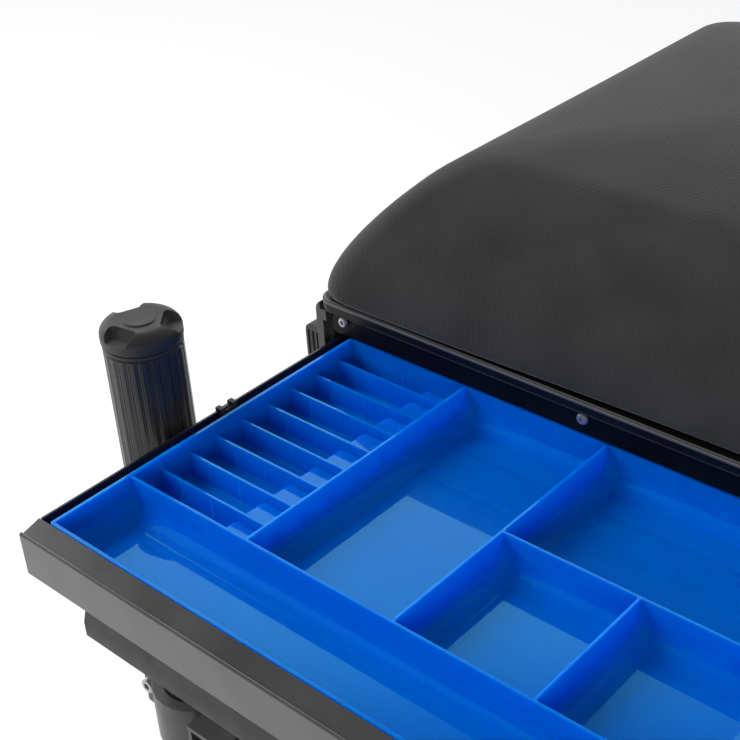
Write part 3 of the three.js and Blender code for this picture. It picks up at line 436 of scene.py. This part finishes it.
# a light grey that paints the highlight along the lid's rim
paintedHighlightMoulding = moulding("paintedHighlightEdgeAbs", "#4c4c4d", "#545455", 0.4, 0.7, 0.004)
# matt nylon of hidden and trodden pieces, leg caps and clips, each a shade lighter
darkMoulding = moulding("mouldedDarkNylon", "#1d1d1f", "#232325", 0.5, 0.8, 0.03)
capMoulding = moulding("mouldedCapNylon", "#252527", "#2b2b2c", 0.5, 0.6, 0.025)
# the clip nylon is also the painted highlight of the flange beads
clipNylonAndHighlightMoulding = moulding("mouldedClipNylonAndPaintedHighlight", "#2a2a2b", "#313132", 0.48, 0.7, 0.02)
# satin black sheet steel, and the front plate's flatter and blacker finish
steelCoating = coating("powderCoatedSteel", "#101113", "#151618", 0.34, 1.6, 0.01)
plateCoating = coating("satinCoatedSteel", "#08080a", "#0c0c0e", 0.42, 2.5, 0.006)
tune(plateCoating, {"Specular IOR Level": 0.12, "Coat Weight": 0.02})
# charcoal body and clamps, with a texture that softens their edges' shine
castCoating = coating("powderCoatedAluminium", "#363637", "#3d3d3e", 0.45, 1.1, 0.02)
# dark tubes that shine along their length, half dye and half metal
tubeAnodising = drawnMetal(
    "blackAnodisedTube", "#2c2c2e", "#3c3c3f", 0.3, (1, 1, 0.02), 0.004, metallic=0.4,
)
# bare metal with streaks along each bar
tubeAluminium = drawnMetal("drawnAluminiumTube", "#a9abae", "#b9bbbe", 0.34, (1, 1, 0.02), 0.001)
barAluminium = drawnMetal("extrudedAluminiumBar", "#a9abae", "#c2c4c7", 0.32, (1, 0.02, 1), 0.004)
# bright screws, a little clouded by their plating
zincSteel = drawnMetal(
    "zincPlatedSteel", "#9c9d9f", "#bcbdc0", 0.32, (1, 1, 1), 0.003, metallic=0.8,
)
# dull black rubber
footRubber = moulding("mouldedFootRubber", "#161616", "#1c1c1c", 0.8, 0.9, 0.05)
polyester = seatCloth(cloth)
print("materials made")


# Tray insert: drafted bins with filleted floors, and rims rounded by the lip
tray = {
    "outerWall": 1.8, "partition": 1.4, "outerCorner": 1.6, "foot": 1.2, "lip": 0.3,
    "columns": [0, 71.3, 147.3, 210.1, 272.9, 337.7, 409], "rows": [0, 41.6, 107.1, 181.3],
    "rightBins": 4, "well": 17.5, "draft": 0.6, "corner": 0.7, "leastCorner": 0.3,
    "floorCorner": 9, "fillet": 9, "filletSteps": 9, "lipSteps": 3, "cornerSteps": 8,
    # small bins at the left, between thin dividers
    "divider": 1.1, "dividerDrop": 5.8, "dividers": 8, "pitch": 15.9, "flare": 0.02,
    "smallFloorCorner": 1.6, "smallFillet": 1.6,
    "ribs": [15.3, 34.0], "ribWidth": 0.5, "ribHeight": 0.25, "ribFade": 0.05, "ribSink": 0.4,
    "stepLength": 22.6, "stepRise": 6.5, "stepCorner": 2.6, "stepCornerSteps": 6, "stepSink": 0.2,
    "stepEdge": [(-0.2, 0.9), (0.06, 0.4), (0.4, 0.1), (0.9, 0)],
    # bare ring on the floor of the bin at the back
    "ring": (195.5, 142.5), "ringRadius": 8.6, "ringWidth": 0.7, "ringRise": 0.2, "ringEdge": 0.15,
    "sink": 0.5, "overcut": 1.5,
}


def rimLevels(top, lip):
    # a rounded rim, as how far it falls back and how high
    return [(0, top - lip), (0.13 * lip, top - 0.5 * lip), (lip, top)]


def binCutter(size, room, floor, top, floorCorner, fillet, lip, endLip=1):
    # corners are sharp at the rim and open into the floor's fillet
    x0, x1, y0, y1 = room
    levels = []
    for i in range(size["filletSteps"] + 1):
        turn = math.radians(90 * i / size["filletSteps"])
        levels.append((fillet * (1 - math.sin(turn)), floor + fillet * (1 - math.cos(turn))))
    levels.append((0, top - lip))
    for i in range(1, size["lipSteps"] + 1):
        turn = math.radians(90 * i / size["lipSteps"])
        levels.append((-lip * (1 - math.cos(turn)), top - lip + lip * math.sin(turn)))
    levels.append((-lip, top + size["overcut"]))
    rings = []
    for inset, z in levels:
        share = max(0, top - z) / (top - floor)
        d = inset + size["draft"] * share
        corner = size["corner"] + (floorCorner - size["corner"]) * share - inset
        end = d if d > 0 else d * endLip
        rings.append(roundedRing(
            x0 + end, x1 - end, y0 + d, y1 - d, max(corner, size["leastCorner"]), z,
            size["cornerSteps"],
        ))
    return loft("cutter", rings)


def binRib(size, x, back, floor, low):
    # a low ridge up a small bin's back wall, which leans with the wall
    half, sink = size["ribWidth"] / 2, back + size["ribSink"]
    foot, head = floor + 2 * size["sink"], low - size["sink"]
    rings = []
    for z, lean in ((foot, size["draft"]), (head, size["ribFade"])):
        face = back - lean
        rings.append([
            (x - half, sink, z), (x - half, face, z), (x, face - size["ribHeight"], z),
            (x + half, face, z), (x + half, sink, z),
        ])
    return loft("rib", rings)


def fingerStep(size, room, floor):
    # a raised step with a rounded edge, at a small bin's right end
    left, right, front, back = room
    levels = [(d, floor + size["stepRise"] - drop) for d, drop in size["stepEdge"]]
    rings = []
    for d, z in [(-size["sink"], floor - size["sink"])] + levels:
        sink = size["stepSink"] * (1 - d)
        rings.append(roundedRing(
            right - size["stepLength"] + d, right + size["sink"], front - sink, back + sink,
            size["stepCorner"], z, size["stepCornerSteps"],
        ))
    return loft("step", rings)


def floorRing(size, place, floor):
    x, y = place
    outer, inner = size["ringRadius"], size["ringRadius"] - size["ringWidth"]
    edge, foot, top = size["ringEdge"], floor - size["sink"], floor + size["ringRise"]
    return turned("ring", [
        (inner, foot), (outer, foot), (outer, floor), (outer - edge, top), (inner + edge, top),
        (inner, floor), (inner, foot),
    ], (x, y, 0))


def makeTray(size):
    x0, x1, y0, y1, z0, z1 = span("tray_insert")
    floor, low, lip, foot = z1 - size["well"], z1 - size["dividerDrop"], size["lip"], size["foot"]
    columns = [x0 + x for x in size["columns"]]
    rows = [y0 + y for y in size["rows"]]

    def room(left, right, front, back):
        # between walls that are half a partition inside their lines, or a whole wall at the rim
        outer, inner = size["outerWall"], size["partition"] / 2
        return (
            left + (outer if left == columns[0] else inner),
            right - (outer if right == columns[-1] else inner),
            front + (outer if front == rows[0] else inner),
            back - (outer if back == rows[-1] else inner),
        )

    body = loft("trayInsert", [
        roundedRing(
            x0 + d, x1 - d, y0 + d, y1 - d, size["outerCorner"] - d, z, size["cornerSteps"],
        )
        for d, z in [(foot, z0), (foot / 4, z0 + foot)] + rimLevels(z1, lip)
    ])
    step = (rows[3] - rows[1]) / size["rightBins"]
    marks = [rows[1] + i * step for i in range(size["rightBins"])] + [rows[3]]
    # each large bin by its two columns and its front and back
    places = [
        (0, 4, rows[0], rows[1]), (4, 6, rows[0], rows[1]), (1, 2, rows[1], rows[3]),
        (2, 3, rows[1], rows[2]), (3, 4, rows[1], rows[2]), (2, 4, rows[2], rows[3]),
        (4, 5, rows[1], rows[3]),
    ] + [(5, 6, front, back) for front, back in zip(marks, marks[1:])]
    cutters = [
        binCutter(
            size, room(columns[a], columns[b], front, back), floor, z1,
            size["floorCorner"], size["fillet"], lip,
        )
        for a, b, front, back in places
    ]
    left, right, front, back = room(columns[0], columns[1], rows[1], rows[3])
    cutters.append(loft("cutter", [
        roundedRing(
            left - d, right + d, front - size["flare"] - d, back + size["flare"] + d,
            size["corner"] + d, z, size["cornerSteps"],
        )
        for d, z in [(0, low)] + rimLevels(z1, lip) + [(lip, z1 + size["overcut"])]
    ]))
    combine(body, joined("cutter", cutters), "DIFFERENCE")
    cutters, steps, ribs = [], [], []
    half, last = size["divider"] / 2, size["dividers"]
    for i in range(last + 1):
        a = front if i == 0 else rows[1] + i * size["pitch"] + half
        b = back if i == last else rows[1] + (i + 1) * size["pitch"] - half
        small = (left, right, a, b)
        cutters.append(binCutter(
            size, small, floor, low, size["smallFloorCorner"], size["smallFillet"],
            size["flare"], 0,
        ))
        steps.append(fingerStep(size, small, floor))
        ribs += [binRib(size, x0 + along, b, floor, low) for along in size["ribs"]]
    combine(body, joined("cutter", cutters), "DIFFERENCE")
    combine(body, joined("steps", steps), "UNION")
    combine(body, joined("ribs", ribs), "UNION")
    x, y = size["ring"]
    combine(body, floorRing(size, (x0 + x, y0 + y), floor), "UNION")
    return smooth(body, 32)


finish(makeTray(tray), "front_drawer", ["tray_insert"], blueStyrene)
print("tray made")


# Seat cushion: covered foam that tucks in at its foot, rounds its shoulder and crowns in the middle
seat = {
    "tuck": 6.5, "tuckHeight": 3.7, "tuckSteps": 8, "shoulder": 47.8, "sideRise": 53.9,
    "crown": 15.9, "corner": 22.1, "cornerClose": 0.3, "leastCorner": 15, "drawIn": 5.8,
    "footDrawIn": 0.6, "ease": 0.3, "sideCurve": 0.92, "riseCurve": 1.6, "rings": 48,
    "spacing": [(0.25, 1.5), (0.75, 2.4)], "cornerSteps": 16, "sideSteps": 34,
}


def seatRing(size, box, inset, z, drawIn):
    x0, x1, y0, y1 = box
    corner = max(size["corner"] - size["cornerClose"] * max(inset, 0), size["leastCorner"])
    corners = roundedRing(
        x0 + inset, x1 - inset, y0 + inset, y1 - inset, corner, z, size["cornerSteps"],
    )
    count = size["cornerSteps"] + 1
    ring = []
    # the sides pull in most at their middles
    inward = [(-1, 0), (0, -1), (1, 0), (0, 1)]
    for side in range(4):
        arc = corners[side * count:(side + 1) * count]
        ring += arc
        a, b = arc[-1], corners[((side + 1) * count) % len(corners)]
        for i in range(1, size["sideSteps"]):
            t = i / size["sideSteps"]
            pull = drawIn * math.sin(math.pi * t) ** 2
            ring.append((
                a[0] + (b[0] - a[0]) * t + inward[side][0] * pull,
                a[1] + (b[1] - a[1]) * t + inward[side][1] * pull,
                z,
            ))
    return ring


def seatRise(size, inset):
    # steep at the side, eased over the shoulder to level
    u, ease = inset / size["shoulder"], size["ease"]
    if u > 1 + ease:
        u = 1
    elif u > 1 - ease:
        u = 1 - (1 + ease - u) ** 2 / (4 * ease)
    return u, size["sideRise"] * (1 - (1 - u) ** size["sideCurve"]) ** (1 / size["riseCurve"])


def makeSeat(size):
    x0, x1, y0, y1, z0, z1 = span("seat_cushion")
    box, half = (x0, x1, y0, y1), (y1 - y0) / 2
    widest = z0 + size["tuckHeight"]
    least = size["footDrawIn"]
    rings = []
    for i in range(size["tuckSteps"] + 1):
        turn = math.radians(90 * i / size["tuckSteps"])
        rings.append(seatRing(
            size, box, size["tuck"] * (1 - math.sin(turn)),
            z0 + size["tuckHeight"] * (1 - math.cos(turn)),
            size["drawIn"] * (1 - (1 - least) * math.sin(turn)),
        ))
    for i in range(1, size["rings"]):
        # rings lie closer together near the side, where the surface turns most
        t = i / size["rings"]
        inset = (half - size["leastCorner"] - 1) * sum(a * t ** b for a, b in size["spacing"])
        u, rise = seatRise(size, inset)
        crown = size["crown"] * (1 - (1 - inset / half) ** 2)
        rings.append(seatRing(
            size, box, inset, widest + rise + crown, least * size["drawIn"] * (1 - u),
        ))
    return smooth(loft("seatCushion", rings), 80)


cushion = finish(makeSeat(seat), "lid", ["seat_cushion"], polyester)
print("cushion made")


# Boxy pieces keep their solid's shape, with rounded edges as moulded, cast or folded
edged = {
    "drawer_pan": ("front_drawer", "coated_steel", 0.3, steelCoating),
    "drawer_panel": ("front_drawer", "moulded_grey", 0.35, panelMoulding),
    "drawer_pull": ("front_drawer", "dark_plastic", 0.5, darkMoulding),
    "deep_drawer_box": ("deep_drawer", "coated_steel", 0.3, steelCoating),
    "deep_drawer_panel": ("deep_drawer", "moulded_grey", 0.35, panelMoulding),
    "deep_drawer_pull": ("deep_drawer", "dark_plastic", 0.5, darkMoulding),
    "front_plate": ("seat_box", "coated_steel", 0.4, plateCoating),
    "cassette_side_left": ("seat_box", "coated_aluminium", 0.5, castCoating),
    "cassette_side_right": ("seat_box", "coated_aluminium", 0.5, castCoating),
    "cassette_back": ("seat_box", "coated_aluminium", 0.5, castCoating),
    "lid_well_tray": ("seat_box", "dark_plastic", 0.4, darkMoulding),
    "cabinet_side_left": ("seat_box", "coated_aluminium", 0.5, castCoating),
    "cabinet_side_right": ("seat_box", "coated_aluminium", 0.5, castCoating),
    "cabinet_back": ("seat_box", "coated_aluminium", 0.5, castCoating),
    "cabinet_floor": ("seat_box", "coated_aluminium", 0.5, castCoating),
    "body_hinge_leaf": ("seat_box", "coated_steel", 0.3, steelCoating),
    "lid_hinge_leaf": ("lid", "coated_steel", 0.3, steelCoating),
    "lid_frame": ("lid", "moulded_grey", 1.3, lidMoulding),
    "chassis_frame": ("seat_box", "coated_aluminium", 0.8, castCoating),
    "footplate_deck": ("footplate", "dark_plastic", 0.8, darkMoulding),
    "footplate_bar_left": ("footplate", "bare_aluminium", 0.8, barAluminium),
    "footplate_bar_right": ("footplate", "bare_aluminium", 0.8, barAluminium),
}
for place in ("front_left", "front_right", "rear_left", "rear_right"):
    edged["clip_lever_" + place] = ("clip_" + place, "dark_plastic", 0.4, clipNylonAndHighlightMoulding)
    edged["leg_clamp_" + place] = ("seat_box", "coated_aluminium", 0.9, castCoating)
for node, (body, slot, radius, material) in edged.items():
    finish(cadCopy(node + "_shell", node, radius), body, [node], material)
print("edged pieces made")


# Tray clips: sprung hooks on the pan's edge, each with two lugs and a notch between them
trayClip = {"lug": 2.7, "notch": 1.6, "round": 0.5, "notchRound": 0.15}


def makeTrayClip(size, name, node):
    x0, x1, y0, y1, z0, z1 = span(node)
    clip = cadCopy(name, node, size["round"], 3)
    combine(clip, block(
        "notch", x0 - 1, x1 + 1, y0 + size["lug"], y1 - size["lug"],
        z1 - size["notch"], z1 + 1,
    ), "DIFFERENCE")
    return roundEdges(clip, size["notchRound"], 2)


for node in ("tray_clip_left", "tray_clip_right"):
    finish(
        makeTrayClip(trayClip, node + "_sprung", node), "front_drawer", [node],
        clipNylonAndHighlightMoulding,
    )
print("tray clips made")


# Beads: a light one round the lid's upper edge, and finer ones on the well tray's flange, whose
# lighter colours paint the highlight lines of those edges
lidBead = {
    "radius": 1.2, "proud": 0.35, "lift": 0.14, "corner": 8.5, "steps": 14, "cornerSteps": 12,
    "drops": [0],
}
flangeBead = {
    "radius": 0.4, "proud": 0.25, "lift": 0.1, "corner": 4, "steps": 10, "cornerSteps": 8,
    "drops": [0, 1.6],
}


def makeBeads(size, name, node):
    x0, x1, y0, y1, z0, z1 = span(node)
    beads = []
    for drop in size["drops"]:
        rings = []
        for i in range(size["steps"]):
            turn = 2 * math.pi * i / size["steps"] - math.pi / 2
            inset = size["radius"] * (1 - math.cos(turn)) - size["proud"]
            rings.append(roundedRing(
                x0 + inset, x1 - inset, y0 + inset, y1 - inset, size["corner"] - inset,
                z1 - drop - size["radius"] * (1 - math.sin(turn)) + size["lift"],
                size["cornerSteps"],
            ))
        beads.append(loft("bead", rings, looped=True))
    return smooth(joined(name, beads), 60)


# the lid bead's light grey paints the highlight along the lid's upper edge
finish(makeBeads(lidBead, "lid_rim_bead", "lid_frame"), "lid", [], paintedHighlightMoulding)
# the flange beads' lighter clip nylon paints two thin highlight lines along the flange
finish(
    makeBeads(flangeBead, "flange_beads", "lid_well_tray"), "seat_box", [],
    clipNylonAndHighlightMoulding,
)
print("beads made")


# Legs: tubes with groups of fine flutes, plain inner tubes, twist caps and rubber feet
tubes = {
    "wall": 2, "innerWall": 1.5, "edge": 0.4, "segments": 132, "groups": 22,
    "fluteAngles": [-3.4, 0, 3.4], "fluteWidth": 0.42, "fluteDepth": 0.22,
}
twistCap = {
    "plug": 15.5, "plugLength": 9, "ring": 18.1, "ringHeight": 2.1, "ringEdge": 0.3, "groove": 0.6,
    "skirtEdge": [(0.5, 0), (0.1, 0.2), (0, 0.6)], "dome": 6.4, "domeSteps": 12, "top": 11.8,
    "disc": 7.6, "discRise": 0.6, "discEdge": 0.3, "discSlope": 0.4, "edge": 0.35,
    # recesses for the fingers, whose levels have a share of the slant and a drop from the top
    "fingers": 3, "fingerInner": 9.6, "fingerHalf": 7.7, "fingerCorner": 2.6, "fingerTurn": 0.35,
    "fingerSlant": 2.2, "fingerFall": 0.1, "fingerDrops": [(1, 3.9), (0.3, 1.95), (0, -2)],
}
rubberFoot = {
    "socket": 13.4, "socketDepth": 12, "tread": 8, "treadEdge": 1.6, "treadRing": 1.4,
    "hollow": 7, "hollowRise": 0.6, "waist": 3.5, "waistHeight": 16, "bevel": 0.5,
    "treadBevel": 0.6, "topBevel": 0.7, "topEdge": 0.8,
}


def makeTube(size, name, node, wall):
    x0, x1, y0, y1, z0, z1 = span(node)
    radius, edge = (x1 - x0) / 2, size["edge"]
    return smooth(turned(name, [
        (radius - wall, z0), (radius - edge, z0), (radius, z0 + edge), (radius, z1 - edge),
        (radius - edge, z1), (radius - wall, z1), (radius - wall, z0),
    ], ((x0 + x1) / 2, (y0 + y1) / 2, 0), size["segments"]))


def makeFlutedTube(size, name, node):
    x0, x1, y0, y1, z0, z1 = span(node)
    cx, cy, radius = (x0 + x1) / 2, (y0 + y1) / 2, (x1 - x0) / 2
    tube = makeTube(size, name, node, size["wall"])
    half = size["fluteWidth"] / 2
    unit = block("flute", -size["fluteDepth"], 1, -half, half, z0 - 1, z1 + 1)
    spots = []
    for group in range(size["groups"]):
        for angle in size["fluteAngles"]:
            turn = math.radians(360 * group / size["groups"] + angle)
            place = (cx + radius * math.cos(turn), cy + radius * math.sin(turn), 0)
            spots.append((place, (0, 0, turn)))
    combine(tube, repeated("flutes", unit, spots, tubeAnodising), "DIFFERENCE")
    return smooth(tube)


def capProfile(size, radius, height):
    # plug, ring, groove and dome up to the raised disc
    groove, ring, rise, edge = size["groove"], size["ring"], size["ringHeight"], size["ringEdge"]
    skirt = rise + groove
    profile = [
        (0, -size["plugLength"]), (size["plug"], -size["plugLength"]), (size["plug"], 0),
        (ring - edge, 0), (ring, edge), (ring, rise - edge), (ring - edge, rise),
        (ring - groove, rise), (ring - groove, skirt),
    ]
    profile += [(radius - back, skirt + lift) for back, lift in size["skirtEdge"]]
    for i in range(size["domeSteps"] + 1):
        turn = math.radians(90 * i / size["domeSteps"])
        profile.append((
            size["top"] + (radius - size["top"]) * math.cos(turn),
            size["dome"] + (height - size["dome"]) * math.sin(turn),
        ))
    disc, top, edge = size["disc"], height + size["discRise"], size["discEdge"]
    return profile + [
        (disc + edge, height), (disc, height + edge), (disc - size["discSlope"], top), (0, top),
    ]


def makeCap(size, name, node):
    x0, x1, y0, y1, z0, z1 = span(node)
    cx, cy, radius, start = (x0 + x1) / 2, (y0 + y1) / 2, (x1 - x0) / 2, z0 + size["plugLength"]
    height = z1 - start - size["discRise"]
    cap = turned(name, capProfile(size, radius, height), (cx, cy, start))
    # finger recesses slope down and out from the top, mirrored on the right side's caps
    side = -1 if x0 < 0 else 1
    inner, half = size["fingerInner"], size["fingerHalf"]
    fingers = []
    for i in range(size["fingers"]):
        turn = size["fingerTurn"] + 2 * math.pi * i / size["fingers"]
        rings = []
        for share, drop in size["fingerDrops"]:
            inset = size["fingerSlant"] * share
            flat = roundedRing(
                inner + inset, radius + 3, inset - half, half - inset, size["fingerCorner"],
                height - drop,
            )
            ring = [
                (
                    cx + side * (x * math.cos(turn) - y * math.sin(turn)),
                    cy + x * math.sin(turn) + y * math.cos(turn),
                    start + z - size["fingerFall"] * share * (x - inner),
                )
                for x, y, z in flat
            ]
            rings.append(ring[::side])
        fingers.append(loft("finger", rings))
    combine(cap, joined("fingers", fingers), "DIFFERENCE")
    return roundEdges(cap, size["edge"], 2, 28)


def makeFoot(size, name, node):
    # a wide tread with a hollow under it, a waist, and a socket for the inner tube
    x0, x1, y0, y1, z0, z1 = span(node)
    radius, socket, floor = (x1 - x0) / 2, size["socket"], z1 - size["socketDepth"]
    waist, hollow, bevel = radius - size["waist"], radius - size["hollow"], size["bevel"]
    return smooth(turned(name, [
        (0, size["hollowRise"]), (hollow, size["hollowRise"]), (hollow + bevel, 0),
        (radius - size["treadRing"], 0), (radius - bevel, bevel), (radius, size["treadEdge"]),
        (radius, size["tread"]),
        (radius - size["treadBevel"], size["tread"] + size["treadEdge"]),
        (waist + bevel, size["waistHeight"] - size["treadEdge"]), (waist, size["waistHeight"]),
        (waist, z1 - size["topEdge"]), (waist - size["topBevel"], z1), (socket, z1),
        (socket, floor), (0, floor),
    ], ((x0 + x1) / 2, (y0 + y1) / 2, 0)), 30)


for place in ("front_left", "front_right", "rear_left", "rear_right"):
    tube, inner, cap, foot = (
        node + place for node in ("leg_tube_", "inner_leg_", "leg_cap_", "leg_foot_")
    )
    finish(
        makeFlutedTube(tubes, tube + "_fluted", tube), "leg_" + place, [tube],
        tubeAnodising,
    )
    finish(
        makeTube(tubes, inner + "_drawn", inner, tubes["innerWall"]), "foot_" + place,
        [inner], tubeAluminium,
    )
    finish(
        makeCap(twistCap, cap + "_domed", cap), "cap_" + place, [cap],
        capMoulding,
    )
    finish(
        makeFoot(rubberFoot, foot + "_moulded", foot), "foot_" + place, [foot],
        footRubber,
    )
print("legs made")


# Screws: hexagon sockets in round heads, for the leg clamps and the front plate, and the hinge pin
clampBolt = {
    "head": 4.2, "headHeight": 4, "shank": 2.5, "shankLength": 18, "socket": 2.1,
    "socketFloor": 0.4, "edge": 0.5, "edgeSteps": 3, "segments": 48,
}
plateScrew = {
    "head": 2.75, "headHeight": 1.6, "shank": 1.4, "shankLength": 5, "socket": 1.25,
    "socketFloor": 0.4, "edge": 1.1, "edgeSteps": 3, "segments": 48,
}


def makeScrews(size, name, nodes):
    head, height, edge = size["head"], size["headHeight"], size["edge"]
    profile = [
        (0, -size["shankLength"]), (size["shank"], -size["shankLength"]), (size["shank"], 0),
        (head, 0), (head, height - edge),
    ]
    for i in range(1, size["edgeSteps"] + 1):
        turn = math.radians(90 * i / size["edgeSteps"])
        profile.append((
            head - edge * (1 - math.cos(turn)), height - edge * (1 - math.sin(turn)),
        ))
    screw = turned("screw", profile + [(0, height)], (0, 0, 0), size["segments"], True)
    socket, floor = size["socket"], height * size["socketFloor"]
    hexagon = turned("socket", [
        (0, floor), (socket, floor), (socket, height + 1), (0, height + 1),
    ], (0, 0, 0), 6, True)
    unit = smooth(combine(screw, hexagon, "DIFFERENCE"), 30)
    spots = []
    for node in nodes:
        x0, x1, y0, y1, z0, z1 = span(node)
        spots.append((((x0 + x1) / 2, y0 + height, (z0 + z1) / 2), (0, 0, 0)))
    return finish(
        repeated(name, unit, spots, zincSteel), "seat_box", nodes, zincSteel,
    )


makeScrews(clampBolt, "clamp_bolts", [
    "clamp_bolt_" + place for place in ("front_left", "front_right", "rear_left", "rear_right")
])
makeScrews(plateScrew, "plate_screws", [
    "plate_screw_" + place for place in ("outer_left", "inner_left", "inner_right", "outer_right")
])
finish(
    cadCopy("hinge_pin_shell", "hinge_pin", 0.2), "seat_box", ["hinge_pin"],
    zincSteel,
)
print("screws made")


# Camera: solved from the straight edges of the tray and body in the photograph
view = {
    "azimuth": 43.73, "elevation": 31.91, "roll": -3.81, "place": (0.2064, -0.4917, 0.6756),
    "lens": 68.63, "sensor": 36,
}


def aimCamera(size):
    a, e, r = (math.radians(size[angle]) for angle in ("azimuth", "elevation", "roll"))
    # the camera looks along -back, and its roll turns the level axes into right and up
    back = Vector((math.sin(a) * math.cos(e), -math.cos(a) * math.cos(e), math.sin(e)))
    level = Vector((math.cos(a), math.sin(a), 0))
    upright = back.cross(level)
    right = math.cos(r) * level + math.sin(r) * upright
    up = math.cos(r) * upright - math.sin(r) * level
    data = bpy.data.cameras.new("camera")
    data.lens = size["lens"]
    data.sensor_width = size["sensor"]
    data.clip_start = 0.01
    camera = bpy.data.objects.new("camera", data)
    turn = Matrix((right, up, back)).transposed().to_4x4()
    camera.matrix_world = Matrix.Translation(size["place"]) @ turn
    bpy.context.scene.collection.objects.link(camera)
    return camera


bpy.context.scene.camera = aimCamera(view)


# Lamps: a soft key from the left front and a weaker fill from the right front, neither mirrored
lamps = {
    "keyLight": {
        "place": (-1.5, -0.8, 1.6), "target": (0, 0, 0.33), "size": (1.2, 1.2), "power": 40,
    },
    "fillLight": {
        "place": (1.5, -1.7, 0.9), "target": (0, -0.15, 0.3), "size": (1.2, 0.8), "power": 17,
    },
}
for name, given in lamps.items():
    data = bpy.data.lights.new(name, "AREA")
    data.shape = "RECTANGLE"
    data.size, data.size_y = given["size"]
    data.energy = given["power"]
    lamp = bpy.data.objects.new(name, data)
    lamp.location = given["place"]
    aim = Vector(given["target"]) - Vector(given["place"])
    lamp.rotation_euler = aim.to_track_quat("-Z", "Y").to_euler()
    lamp.visible_glossy = False
    bpy.context.scene.collection.objects.link(lamp)


# Studio: white where the camera sees past the floor, and its light and reflections by direction
studio = {
    "tone": (0.98, 0.99, 1, 1), "ambient": (0.14, 0.66),
    "brightSide": (-0.35, 0.45, 0.82), "brightEdge": (-0.6, 1.0),
    "sweepSide": (-0.69, 0.72, 0), "sweepTop": (0.66, 0.76), "sweepEdge": (0.15, 0.6),
    "faintEdge": (-0.45, -0.25), "faint": (0.28, 0.05), "mirrored": (0.1, 1.6),
}


def background(tree, strength, tone=(1, 1, 1, 1)):
    shader = addNode(tree, "ShaderNodeBackground", {"Color": tone, "Strength": strength})
    return shader.outputs["Background"]


def makeStudio(size):
    world = bpy.data.worlds.new("studio")
    bpy.context.scene.world = world
    world.use_nodes = True
    tree = world.node_tree
    tree.nodes.remove(tree.nodes["Background"])
    towards = addNode(tree, "ShaderNodeTexCoord").outputs["Generated"]
    parts = addNode(tree, "ShaderNodeSeparateXYZ", {0: towards}).outputs

    def facing(side):
        return addNode(
            tree, "ShaderNodeVectorMath", {0: towards, 1: side}, operation="DOT_PRODUCT",
        ).outputs["Value"]

    # the room is brighter high up and behind the left side, which shades the cushion's low front
    ambient = remap(tree, facing(size["brightSide"]), size["brightEdge"], size["ambient"])
    # glossy rays see a white sweep behind the left side that ends about 45 degrees up, under a
    # dark ceiling
    height = remap(tree, parts["Z"], size["sweepTop"], (1.0, 0.0), "SMOOTHSTEP")
    faint = remap(tree, parts["X"], size["faintEdge"], size["faint"])
    side = remap(
        tree, facing(size["sweepSide"]), size["sweepEdge"], (faint, 1.0), "SMOOTHSTEP",
    )
    lit = addNode(tree, "ShaderNodeMath", {0: height, 1: side}, operation="MULTIPLY")
    sweep = remap(tree, lit.outputs[0], (0.0, 1.0), size["mirrored"])
    rays = addNode(tree, "ShaderNodeLightPath").outputs
    direct = addNode(tree, "ShaderNodeMath", {
        0: rays["Is Camera Ray"], 1: rays["Is Transmission Ray"],
    }, operation="MAXIMUM")
    shown = addNode(tree, "ShaderNodeMixShader", {
        0: direct.outputs[0], 1: background(tree, ambient, size["tone"]),
        2: background(tree, 1.0),
    })
    choice = addNode(tree, "ShaderNodeMixShader", {
        0: rays["Is Glossy Ray"], 1: shown.outputs[0], 2: background(tree, sweep),
    })
    tree.links.new(choice.outputs[0], tree.nodes["World Output"].inputs["Surface"])


makeStudio(studio)


# Studio floor: matt white paper with a soft shadow
paper = {"half": 4000, "thickness": 20, "colour": "#a8a8a8", "glow": 0.62}


def makePaper(size):
    # seen directly or in a reflection the paper is overexposed to white, and keeps its shadow
    material, tree, shader = newMaterial("matWhitePaper", {
        "Roughness": 0.9, "Base Color": linear(size["colour"]), "Emission Color": (1, 1, 1, 1),
    })
    rays = addNode(tree, "ShaderNodeLightPath").outputs
    seen = addNode(tree, "ShaderNodeMath", {
        0: rays["Is Camera Ray"], 1: rays["Is Glossy Ray"],
    }, operation="MAXIMUM")
    seen = addNode(tree, "ShaderNodeMath", {
        0: seen.outputs[0], 1: rays["Is Transmission Ray"],
    }, operation="MAXIMUM")
    glow = addNode(tree, "ShaderNodeMath", {
        0: seen.outputs[0], 1: size["glow"],
    }, operation="MULTIPLY")
    tree.links.new(glow.outputs[0], shader.inputs["Emission Strength"])
    return material


half = paper["half"]
floor = block("studioFloor", -half, half, -half, half, -paper["thickness"], 0)
floor.data.materials.append(makePaper(paper))
print("studio made")

bpy.context.scene.view_settings.view_transform = "Standard"

print("scene ready")
